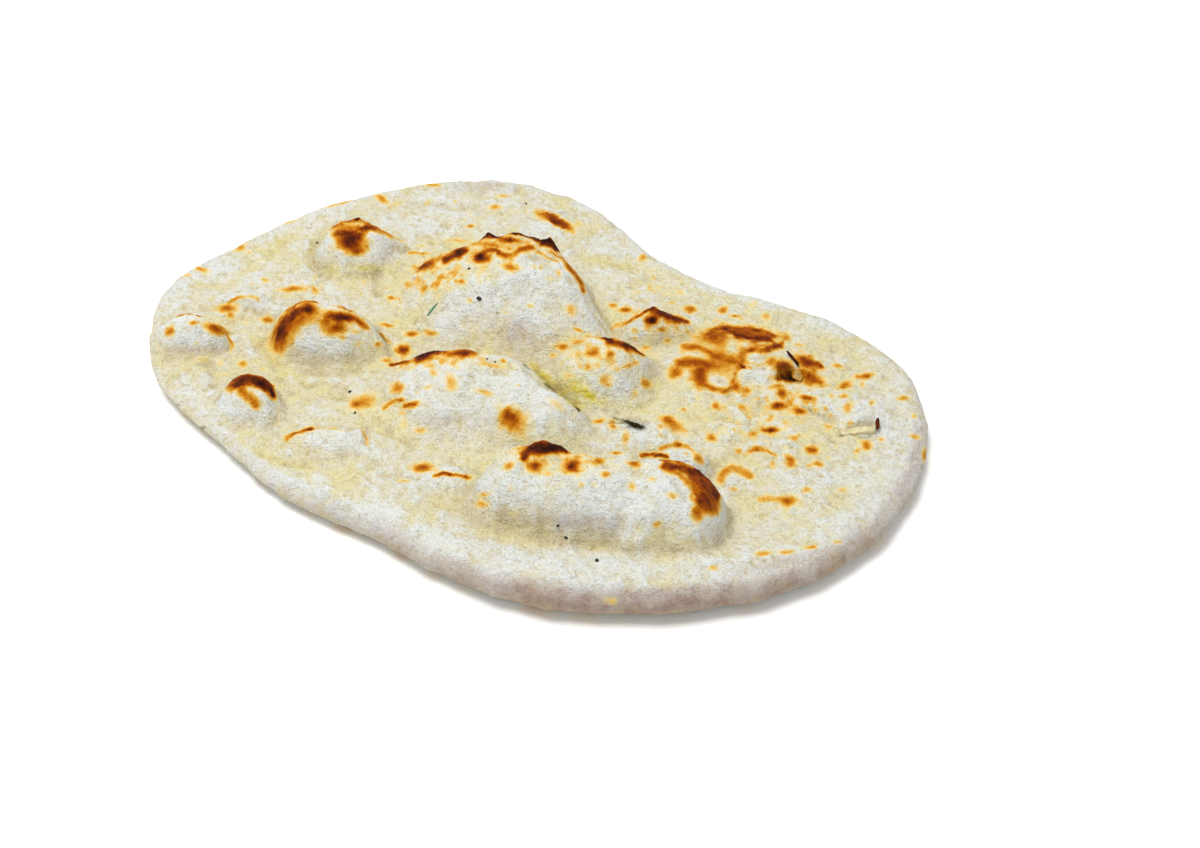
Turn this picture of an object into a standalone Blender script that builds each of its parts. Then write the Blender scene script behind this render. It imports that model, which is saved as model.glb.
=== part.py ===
"""Naan bread: one oval flatbread, pinched in at one long side, with a swollen rim and a field of blisters.

Run it in Blender's text editor, or with blender --background --python part.py.
Metres, +Z up. The origin is under the middle of the bread, +X runs along its length,
and it rests on its flat underside at z = 0.

The bread is one solid. It starts as a flat box of fine squares, its outline is drawn out to the
bread's own, its upper skin is lifted into blisters, and its edge is rounded over. A Decimate
modifier then keeps the triangles where the skin bends.
"""

import math
from collections import namedtuple

import bmesh
import bpy
import numpy as np
from mathutils import noise

# Lengths below are in millimetres, because the bread's relief is read that way, and MM turns them
# into metres where the mesh is written.
MM = 0.001

# Driving dimensions: the oval that the dough was rolled to, before it was stretched by hand.
OVAL_LENGTH = 286.0
OVAL_WIDTH = 180.0
DOUGH_THICKNESS = 8.5

# Where stretching pushed the outline out or left it behind: the direction from the middle, how far
# round it reaches to either side, and how far it moves the outline.
Lobe = namedtuple("Lobe", "name direction reach push")
LOBES = (
    Lobe("far right shoulder", 40, 30, 33),
    Lobe("waist on the far side", 72, 15, -6),
    Lobe("far side, left of the waist", 116, 14.5, 9.5),
    Lobe("far left shoulder", 137, 22, 20),
    Lobe("left tip", 197, 10.5, 9.5),
    Lobe("near left shoulder", 215, 19, 24.5),
    Lobe("near side", 250, 24, 13.5),
    Lobe("near right side", 308, 30, 11.5),
)

# The rim is thickest at the near right, and its underside is lifted most at the near left.
RIM_HEIGHT_THIN = 8.0
RIM_HEIGHT_THICK = 15.2
RIM_THICK_DIRECTION = -38.0
RIM_THICK_REACH = 58.0
RIM_LIFT_LOW = 1.2
RIM_LIFT_HIGH = 3.2
RIM_LIFT_DIRECTION = 212.0
RIM_LIFT_REACH = 45.0

# Rim section
RIM_ROUNDING_SHARE = 0.62
RIM_BACK_INSET = 9.0
RIM_BACK_WIDTH = 19.0
UNDERSIDE_CURL_WIDTH = 20.0
FOLD_ANGLE_DEG = 30.0

# The mesh before Decimate: squares along and across, rows round the edge, and the share kept.
SQUARES_ALONG = 186
SQUARES_ACROSS = 128
EDGE_ROWS = 7
KEPT_SHARE = 0.106

# Relief of the plain skin
SWELL_SIZE = 42.0
SWELL_HEIGHT = 1.3
RIPPLE_SIZE = 13.0
RIPPLE_HEIGHT = 0.7
OUTLINE_WANDER_SIZE = 17.0
OUTLINE_WANDER = 1.8
BLISTER_LUMP_SIZE = 9.0
BLISTER_LUMP_SHARE = 0.09
BLISTER_SQUARENESS = 2.2
FOOT_ON_A_BLISTER = 1.2
FOLD_WANDER_SIZE = 7.0
FOLD_WANDER = 1.2

# A blister: where its top is, how far its foot reaches from there along its own axis (behind and
# ahead) and across it (near and far), the turn of that axis from +X, how high it stands above the
# dough, how full it is (2 is a plain dome, more has steeper sides and a flatter top), the size of
# the hollow round its foot, and the bend that turns its far end towards the near side.
Blister = namedtuple(
    "Blister", "name top behind ahead near far turn height fullness foot bend", defaults=(3.0, 0.0)
)

BLISTERS = (
    Blister("great blister", (-34.5, 38), 47, 36, 42, 20, 38, 23.8, 2.1, 8.0, 0.024),
    Blister("long blister", (68, -38), 47, 43, 22, 13, 33, 21.5, 2.7, 4.5),
    Blister("long blister, left knob", (48, -47), 25, 24, 22, 12, 33, 22.5, 2.3, 4.5),
    Blister("long blister, right knob", (86, -26), 28, 25, 26, 13, 33, 22.5, 2.8, 4.5, 0.003),
    Blister("middle blister", (-14, -17), 33, 40, 32, 12, 32, 13.5, 2.1, 5.0),
    Blister("middle blister, tail", (13, -15), 24, 31, 20, 10, 6, 14.0, 2.3, 4.0),
    Blister("round blister by the tip", (-103, 15), 17, 21, 17, 12, 38, 13.2, 2.3, 4.0),
    Blister("left blister", (-77, -33), 18, 29, 16, 10, 32, 16.5, 2.3, 4.0),
    Blister("edge blister", (-112, -64), 16, 16, 10, 8, 30, 10.0, 2.4, 3.5),
    Blister("scorched knob", (-69, -74.5), 12, 14, 15, 8, 22, 11.0, 2.4, 3.5, 0.02),
    Blister("low edge blister", (-32, -74), 16, 16, 9, 7, 40, 4.0, 2.3),
    Blister("heart blister", (21, 20), 20, 22, 23, 10, 32, 14.8, 2.1, 5.0),
    Blister("small far blister", (23, 51), 14, 15, 9, 8, 40, 10.5, 2.2, 4.0),
    Blister("burst blister", (60, 55), 31, 32, 25, 18, 36, 5.5, 2.0, 4.0),
    Blister("slit blister", (58, 1), 23, 23, 12, 8, 30, 4.5, 2.1),
    Blister("torn blister", (104, 58), 18, 18, 11, 12, 20, 4.5, 2.1),
    Blister("low right blister", (110, 12), 18, 18, 18, 14, 36, 4.0, 2.0),
    Blister("blister behind the long one", (77, -4), 13, 13, 8, 7, 20, 9.2, 2.2, 3.5),
    Blister("front ripple", (15, -61), 14, 14, 8, 5, 36, 3.8, 2.2),
    Blister("back left pimple", (-114, -37), 10, 10, 9, 6, 50, 4.2, 2.2),
    Blister("swell right of the long one", (98, 4), 12, 14, 9, 6, 38, 3.0, 2.2, 2.5),
    Blister("swell below the torn blister", (97, 24), 12, 13, 8, 6, 34, 3.0, 2.2, 2.5),
    Blister("swell on the shelf", (78, 20), 12, 13, 9, 7, 30, 2.6, 2.1, 2.5),
)

# Small raised points of burst skin on the crests: place, radius and height.
CrestPoint = namedtuple("CrestPoint", "place radius height")
CREST_POINTS = (
    CrestPoint((-55, 26), 4.0, 1.6),
    CrestPoint((-50, 37), 4.5, 3.6),
    CrestPoint((-27, 48), 5.0, 4.0),
    CrestPoint((-104, 19), 3.0, 1.8),
    CrestPoint((21, 52), 3.5, 2.0),
    CrestPoint((48, -44), 9.0, 2.0),
)

# Breaks in the skin: place, half length, half width, turn and depth.
Break = namedtuple("Break", "name place half_length half_width turn depth")
BREAKS = (
    Break("burst hole", (80, 61), 7.0, 4.0, 40, 5.0),
    Break("slit", (49, 1.5), 7.5, 2.0, 24, 4.5),
    Break("torn tunnel", (116, 53), 8.0, 2.4, 54, 2.4),
)

# Folds and creases along a line: its corners, half width and depth, below zero for a ridge.
Fold = namedtuple("Fold", "name path width depth")
FOLDS = (
    Fold("deep crease by the heart blister", ((-2, 2), (10, 0), (20, -1), (29, -3)), 3.0, 3.2),
    Fold("fold on the left", ((-94, -48), (-82, -53), (-71, -56)), 3.5, 1.5),
    Fold("fold behind the tip", ((-129, -26), (-129, -12), (-130, 2), (-129, 13)), 4.5, 1.2),
    Fold("crease right of the left blister", ((-62, -17), (-51, -20), (-46, -24)), 2.2, 1.8),
    Fold("foot of the long blister", ((40, -71), (62, -65), (80, -55), (98, -44), (108, -33)), 3.0, 0.9),
    Fold("cracked line", ((90, 52), (98, 50), (106, 50)), 1.6, 1.3),
    Fold("far valley", ((-40, 68), (-27, 73), (-8, 78), (6, 77)), 5.0, 1.3),
    Fold("shelf right of the middle", ((40, -11), (52, -8), (66, -10)), 3.0, 0.8),
)


def toward(angle, direction, reach):
    """1 in a direction in degrees, fading to 0 beyond its reach to either side."""
    away = (np.degrees(angle) - direction + 180) % 360 - 180
    return np.exp(-((away / reach) ** 2))


def waves(x, y, size, seed, octaves=2):
    """Smooth random waves between about -1 and 1, of the given size, always the same for a seed."""
    flat = [
        noise.fractal((px / size, py / size, seed), 1.0, 2.0, octaves)
        for px, py in zip(np.ravel(x), np.ravel(y))
    ]
    return np.reshape(flat, np.shape(x))


def smooth_step(t):
    t = np.clip(t, 0.0, 1.0)
    return t * t * (3 - 2 * t)


def larger_of(a, b, softness):
    """The larger of two heights, with the crease between them rounded a little."""
    overlap = np.maximum(softness - np.abs(a - b), 0.0)
    return np.maximum(a, b) + overlap**2 / (4 * softness)


def rim_radius(angle):
    """Distance from the middle to the outline: the rolled oval with its stretched lobes."""
    half_length, half_width = OVAL_LENGTH / 2, OVAL_WIDTH / 2
    radius = half_length * half_width / np.hypot(
        half_width * np.cos(angle), half_length * np.sin(angle)
    )
    for lobe in LOBES:
        radius = radius + lobe.push * toward(angle, lobe.direction, lobe.reach)
    return radius


def rim_height(angle):
    """Height of the rim's back above the surface that the bread rests on."""
    thick = toward(angle, RIM_THICK_DIRECTION, RIM_THICK_REACH)
    return RIM_HEIGHT_THIN + (RIM_HEIGHT_THICK - RIM_HEIGHT_THIN) * thick


def rim_lift(angle):
    """How far the underside leaves the surface at the rim."""
    high = toward(angle, RIM_LIFT_DIRECTION, RIM_LIFT_REACH)
    return RIM_LIFT_LOW + (RIM_LIFT_HIGH - RIM_LIFT_LOW) * high


def facing(angle):
    """How squarely the outline faces outwards there: 1 where it runs across the radius."""
    step = 0.01
    slope = (rim_radius(angle + step) - rim_radius(angle - step)) / (2 * step)
    return np.cos(np.arctan2(slope, rim_radius(angle)))


def blister_relief(x, y):
    """Height of the blistered skin above the dough."""
    x = x + waves(x, y, OUTLINE_WANDER_SIZE, 3.1) * OUTLINE_WANDER
    y = y + waves(x, y, OUTLINE_WANDER_SIZE, 7.7) * OUTLINE_WANDER
    lumps = 1 + BLISTER_LUMP_SHARE * waves(x, y, BLISTER_LUMP_SIZE, 11.3)
    relief = np.zeros_like(x)
    for blister in BLISTERS:
        turn = math.radians(blister.turn)
        dx, dy = x - blister.top[0], y - blister.top[1]
        along = dx * math.cos(turn) + dy * math.sin(turn)
        across = dy * math.cos(turn) - dx * math.sin(turn)
        across += blister.bend * np.maximum(along, 0) ** 2
        along /= np.where(along > 0, blister.ahead, blister.behind)
        across /= np.where(across > 0, blister.far, blister.near)
        reach = np.abs(along) ** BLISTER_SQUARENESS + np.abs(across) ** BLISTER_SQUARENESS
        reach = reach ** (1 / BLISTER_SQUARENESS)
        dome = (1 - reach**blister.fullness) * blister.height * lumps
        # A blister that grows out of another one has a tight crease at its foot.
        on_another = smooth_step(relief / 4)
        foot = blister.foot + (FOOT_ON_A_BLISTER - blister.foot) * on_another
        relief = larger_of(relief, dome, foot)
    return relief


def path_distance(x, y, path):
    """Distance of each place from a broken line, and how far along it that is, from 0 to 1."""
    nearest = np.full_like(x, 1e9)
    share = np.zeros_like(x)
    for index, ((ax, ay), (bx, by)) in enumerate(zip(path, path[1:])):
        run_x, run_y = bx - ax, by - ay
        t = ((x - ax) * run_x + (y - ay) * run_y) / (run_x**2 + run_y**2)
        t = np.clip(t, 0, 1)
        gap = np.hypot(x - ax - run_x * t, y - ay - run_y * t)
        share = np.where(gap < nearest, (index + t) / (len(path) - 1), share)
        nearest = np.minimum(gap, nearest)
    return nearest, share


def small_relief(x, y):
    """The burst points on the crests and the folds, less the breaks in the skin."""
    relief = np.zeros_like(x)
    for point in CREST_POINTS:
        gap = np.hypot(x - point.place[0], y - point.place[1]) / point.radius
        relief += point.height * np.clip(1 - gap, 0, 1) ** 1.2
    for gash in BREAKS:
        turn = math.radians(gash.turn)
        dx, dy = x - gash.place[0], y - gash.place[1]
        along = (dx * math.cos(turn) + dy * math.sin(turn)) / gash.half_length
        across = (dy * math.cos(turn) - dx * math.sin(turn)) / gash.half_width
        relief -= gash.depth * smooth_step((1 - np.hypot(along, across)) * 2.5)
    wander = FOLD_WANDER * waves(x, y, FOLD_WANDER_SIZE, 17.9)
    for fold in FOLDS:
        gap, share = path_distance(x + wander, y + wander, fold.path)
        ends = smooth_step(np.minimum(share, 1 - share) * 5 + 0.15)
        relief -= fold.depth * np.exp(-((gap / fold.width) ** 2) * 1.6) * ends
    return relief


def top_height(x, y, angle, inset):
    """Height of the upper skin: dough, a swollen rim, blisters and small relief."""
    rim_back = np.exp(-(((inset - RIM_BACK_INSET) / RIM_BACK_WIDTH) ** 2))
    rim_back = np.where(inset < RIM_BACK_INSET, 1.0, rim_back)
    dough = DOUGH_THICKNESS + (rim_height(angle) - DOUGH_THICKNESS) * rim_back
    dough += SWELL_HEIGHT * waves(x, y, SWELL_SIZE, 1.7)
    dough += RIPPLE_HEIGHT * waves(x, y, RIPPLE_SIZE, 5.9)
    return dough + blister_relief(x, y) + small_relief(x, y)


def underside_height(angle, inset):
    """Height of the lower skin: flat in the middle, curling up a little towards the rim."""
    curl = np.clip(1 - inset / UNDERSIDE_CURL_WIDTH, 0, 1) ** 2
    return rim_lift(angle) * curl


def shaped(square):
    """Moves the points of the flat box, with sides from -1 to 1, to the bread's skin, in millimetres."""
    s, t, level = square.T
    disc_x = s * np.sqrt(1 - t**2 / 2)
    disc_y = t * np.sqrt(1 - s**2 / 2)
    share = np.hypot(disc_x, disc_y)
    oval_x, oval_y = disc_x * OVAL_LENGTH, disc_y * OVAL_WIDTH
    angle = np.arctan2(oval_y, oval_x)

    radius = rim_radius(angle)
    squareness = facing(angle)
    height = rim_height(angle)
    lift = rim_lift(angle)
    rounding = height * RIM_ROUNDING_SHARE

    fold = math.radians(FOLD_ANGLE_DEG)
    turn = np.where(np.abs(level) < 0.999, fold * level, fold)
    edge_inset = rounding * (1 - np.cos(turn))
    distance = share * (radius - edge_inset / squareness)
    inset = np.maximum((radius - distance) * squareness, 0.0)
    x, y = distance * np.cos(angle), distance * np.sin(angle)

    bulge = np.sqrt(np.clip(1 - np.clip(1 - inset / rounding, 0, 1) ** 2, 0, 1))
    waist = (height + lift) / 2
    upper, lower = top_height(x, y, angle, inset), underside_height(angle, inset)
    above = waist + (upper - waist) * bulge
    below = waist + (lower - waist) * bulge
    z = np.where(level > 0, above, below)
    z = np.where(np.abs(level) < 0.001, waist, z)
    return np.column_stack([x, y, z])


def dough_box():
    """A flat box with sides from -1 to 1: fine squares above and below, and rows round its edge."""
    mesh = bmesh.new()
    bmesh.ops.create_grid(
        mesh, x_segments=SQUARES_ALONG, y_segments=SQUARES_ACROSS, size=1.0
    )
    sheet = bmesh.ops.extrude_face_region(mesh, geom=mesh.faces[:])
    lifted = [v for v in sheet["geom"] if isinstance(v, bmesh.types.BMVert)]
    for vertex in mesh.verts:
        vertex.co.z = -1.0
    for vertex in lifted:
        vertex.co.z = 1.0
    upright = [e for e in mesh.edges if abs(e.verts[0].co.z - e.verts[1].co.z) > 1.0]
    bmesh.ops.subdivide_edges(mesh, edges=upright, cuts=EDGE_ROWS - 1, use_grid_fill=True)
    bmesh.ops.recalc_face_normals(mesh, faces=mesh.faces[:])
    return mesh


def bread_mesh():
    box = dough_box()
    square = np.array([v.co for v in box.verts], float)
    for vertex, place in zip(box.verts, shaped(square)):
        vertex.co = place * MM
    mesh = bpy.data.meshes.new("naan_bread")
    box.to_mesh(mesh)
    box.free()
    return mesh


def crust_material():
    """Pale baked dough: cream, dry and matt."""
    material = bpy.data.materials.new("baked_dough")
    material.use_nodes = True
    shader = material.node_tree.nodes["Principled BSDF"]
    shader.inputs["Base Color"].default_value = (0.78, 0.70, 0.50, 1.0)
    shader.inputs["Roughness"].default_value = 0.82
    shader.inputs["Metallic"].default_value = 0.0
    return material


def main():
    for old in list(bpy.data.objects):
        bpy.data.objects.remove(old)
    parts = bpy.data.collections.new("Naan bread")
    bpy.context.scene.collection.children.link(parts)

    bread = bpy.data.objects.new("naan_bread", bread_mesh())
    parts.objects.link(bread)
    bread.data.materials.append(crust_material())
    bread.data.shade_smooth()

    fewer = bread.modifiers.new("Fewer triangles", "DECIMATE")
    fewer.decimate_type = "COLLAPSE"
    fewer.ratio = KEPT_SHARE
    fewer.use_collapse_triangulate = True


main()
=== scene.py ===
"""Dresses the naan bread: its blistered skin, its scorch marks, its torn flakes and what stuck to it.

Lengths are in millimetres while the dough is shaped, and MM turns them into metres. Places in
the photograph are columns and rows of its 1200 by 848 frame.
"""

import logging
import math
from dataclasses import dataclass, field
from enum import Enum
from typing import Iterable, Sequence

import bpy
import numpy as np
from mathutils import Matrix, Vector, noise
from mathutils.bvhtree import BVHTree


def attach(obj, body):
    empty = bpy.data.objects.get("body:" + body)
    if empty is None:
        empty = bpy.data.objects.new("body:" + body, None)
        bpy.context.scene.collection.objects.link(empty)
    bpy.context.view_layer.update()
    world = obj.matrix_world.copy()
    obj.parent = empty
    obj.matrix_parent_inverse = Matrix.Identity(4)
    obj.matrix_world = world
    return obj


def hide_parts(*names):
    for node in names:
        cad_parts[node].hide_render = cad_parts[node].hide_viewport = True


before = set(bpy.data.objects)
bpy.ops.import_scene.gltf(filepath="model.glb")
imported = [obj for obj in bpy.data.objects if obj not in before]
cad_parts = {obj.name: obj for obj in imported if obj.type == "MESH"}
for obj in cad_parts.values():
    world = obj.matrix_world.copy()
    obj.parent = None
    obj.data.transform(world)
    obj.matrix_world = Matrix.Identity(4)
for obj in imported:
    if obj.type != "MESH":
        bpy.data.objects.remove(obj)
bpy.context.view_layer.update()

MM = 0.001
LOG = logging.getLogger("naan")
Pixel = tuple[float, float]
Plan = tuple[float, float]
Colour = tuple[int, int, int]
Socket = bpy.types.NodeSocket
# A box point this near to 1 or -1 belongs to the flat top or bottom
FLAT_LEVEL = 0.999
# How much weaker, and how many times finer, each further layer of waves is
WAVE_ROUGHNESS = 1.0
WAVE_STEP = 2.0


# Small helpers


def waves(x: np.ndarray, y: np.ndarray, size: float, seed: float, octaves: int = 2) -> np.ndarray:
    """Smooth random waves between about -1 and 1, always the same for a seed.

    Args:
        x: Places along the bread, in millimetres.
        y: Places across the bread, in millimetres.
        size: Length of the largest waves, in millimetres.
        seed: Which waves.
        octaves: How many ever finer layers are added.

    Returns:
        One value for each place.
    """
    flat = [
        noise.fractal((px, py, seed), WAVE_ROUGHNESS, WAVE_STEP, octaves)
        for px, py in zip(np.ravel(x / size).tolist(), np.ravel(y / size).tolist())
    ]
    return np.reshape(flat, np.shape(x))


def smooth_step(t: np.ndarray) -> np.ndarray:
    """An S curve from 0 to 1 over 0 to 1."""
    t = np.clip(t, 0.0, 1.0)
    return t * t * (3 - 2 * t)


def larger_of(a: np.ndarray, b: np.ndarray, softness: float) -> np.ndarray:
    """The larger of two heights, with the crease between them rounded a little."""
    overlap = np.maximum(softness - np.abs(a - b), 0.0)
    return np.maximum(a, b) + overlap**2 / (4 * softness)


def toward(angle: np.ndarray, direction: float, reach: float) -> np.ndarray:
    """1 in a direction in degrees, fading to 0 beyond its reach to either side."""
    away = (np.degrees(angle) - direction + 180) % 360 - 180
    return np.exp(-((away / reach) ** 2))


def path_distance(x: np.ndarray, y: np.ndarray, path: Sequence[Pixel]) -> tuple[np.ndarray, np.ndarray]:
    """Distance of each place from a broken line.

    Args:
        x: First coordinate of the places.
        y: Second coordinate of the places.
        path: Corners of the line.

    Returns:
        The distance, and how far along the line the nearest point is, from 0 to 1.
    """
    nearest = np.full(np.shape(x), 1e9)
    along = np.zeros(np.shape(x))
    pieces = len(path) - 1
    for index, ((ax, ay), (bx, by)) in enumerate(zip(path, path[1:])):
        run = (bx - ax, by - ay)
        t = ((x - ax) * run[0] + (y - ay) * run[1]) / (run[0] ** 2 + run[1] ** 2)
        t = np.clip(t, 0, 1)
        gap = np.hypot(x - ax - run[0] * t, y - ay - run[1] * t)
        closer = gap < nearest
        nearest = np.where(closer, gap, nearest)
        along = np.where(closer, (index + t) / pieces, along)
    return nearest, along


def linear(colour: Colour) -> tuple[float, float, float, float]:
    """Turns a colour as read off a screen into the shader's own numbers.

    Args:
        colour: Red, green and blue from 0 to 255.

    Returns:
        Red, green and blue from 0 to 1 and full opacity.
    """
    parts = [c / 255 for c in colour]
    parts = [c / 12.92 if c <= 0.04045 else ((c + 0.055) / 1.055) ** 2.4 for c in parts]
    return (parts[0], parts[1], parts[2], 1.0)


def deselect_all() -> None:
    """Leaves edit mode and selects nothing."""
    if bpy.context.object and bpy.context.object.mode != "OBJECT":
        bpy.ops.object.mode_set(mode="OBJECT")
    bpy.ops.object.select_all(action="DESELECT")


def hand_over(piece: bpy.types.Object, *stands_for: str) -> None:
    """Fixes a finished piece to the bread and hides the solids that it is shown in place of.

    Args:
        piece: The finished object.
        stands_for: The solids that it is shown in place of.
    """
    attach(piece, "root")
    if stands_for:
        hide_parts(*stands_for)
    LOG.info("%s: %d faces", piece.name, len(piece.data.polygons))


# The photographer's eye


@dataclass(frozen=True)
class PhotoCamera:
    """The camera of the photograph: where it stands, and what it sees where."""

    turn_deg: float = 39.0
    elevation_deg: float = 42.0
    distance_mm: float = 745.0
    target_mm: tuple[float, float, float] = (33.67, 3.77, 0.0)
    lens_mm: float = 60.0
    sensor_mm: float = 36.0
    frame_width: float = 1200.0
    frame_height: float = 848.0

    def axes(self) -> tuple[np.ndarray, np.ndarray, np.ndarray]:
        """The camera's own directions.

        Returns:
            The directions to the picture's right, to its top and into the scene.
        """
        a, e = math.radians(self.turn_deg), math.radians(self.elevation_deg)
        right = np.array([math.cos(a), math.sin(a), 0.0])
        ahead = np.array([-math.sin(a) * math.cos(e), math.cos(a) * math.cos(e), -math.sin(e)])
        return right, np.cross(right, ahead), ahead

    def place(self) -> np.ndarray:
        """Where the camera stands, in millimetres."""
        return np.array(self.target_mm) - self.axes()[2] * self.distance_mm

    def picture(self, points: np.ndarray) -> tuple[np.ndarray, np.ndarray, np.ndarray]:
        """Where points appear.

        Args:
            points: Rows of x, y and z in millimetres.

        Returns:
            Column, row and depth of each point.
        """
        right, up, ahead = self.axes()
        seen = points - self.place()
        depth = seen @ ahead
        scale = self.lens_mm / self.sensor_mm * self.frame_width / depth
        column = self.frame_width / 2 + seen @ right * scale
        row = self.frame_height / 2 - seen @ up * scale
        return column, row, depth

    def touch(self, surface: BVHTree, pixel: Pixel) -> Vector:
        """The point of a surface that shows at a pixel.

        Args:
            surface: The surface, in metres.
            pixel: Column and row.

        Returns:
            The point, in metres.
        """
        right, up, ahead = self.axes()
        scale = self.sensor_mm / self.lens_mm / self.frame_width
        ray = ahead + right * (pixel[0] - self.frame_width / 2) * scale
        ray = ray - up * (pixel[1] - self.frame_height / 2) * scale
        return surface.ray_cast(Vector(self.place() * MM), Vector(ray).normalized())[0]

    def set_up(self) -> None:
        """Adds the camera and makes it the scene's own."""
        camera = bpy.data.cameras.new("photo_camera")
        camera.lens = self.lens_mm
        camera.sensor_width = self.sensor_mm
        camera.clip_start = 0.01
        eye = bpy.data.objects.new("photo_camera", camera)
        bpy.context.scene.collection.objects.link(eye)
        right, up, ahead = self.axes()
        stand = Matrix((right, up, -ahead)).transposed().to_4x4()
        stand.translation = Vector(self.place() * MM)
        eye.matrix_world = stand
        bpy.context.scene.camera = eye


# The dough's form


@dataclass(frozen=True)
class Lobe:
    """A stretch of the outline that was pushed out or left behind."""

    name: str
    direction: float
    reach: float
    push: float


@dataclass(frozen=True)
class Blister:
    """A puffed dome: its top, the reach of its foot, its turn, its height and how full it is.

    A full dome has steep sides and a flat top. The foot is the size of the hollow round it, and
    the bend turns its far end towards the near side.
    """

    name: str
    top: Plan
    behind: float
    ahead: float
    near: float
    far: float
    turn: float
    height: float
    fullness: float
    foot: float = 3.0
    bend: float = 0.0


@dataclass(frozen=True)
class CrestPoint:
    """A small point of burst skin on a crest."""

    place: Plan
    radius: float
    height: float


@dataclass(frozen=True)
class Break:
    """A hole or slit in the skin."""

    name: str
    place: Plan
    half_length: float
    half_width: float
    turn: float
    depth: float


@dataclass(frozen=True)
class Fold:
    """A groove, or with a negative depth a ridge, along a line on the skin."""

    name: str
    path: tuple[Plan, ...]
    width: float
    depth: float


@dataclass(frozen=True)
class Pimples:
    """A patch of small blisters, scattered by a seeded draw."""

    name: str
    place: Plan
    reach: tuple[float, float]
    count: int
    radius: tuple[float, float]
    height: tuple[float, float]


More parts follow.
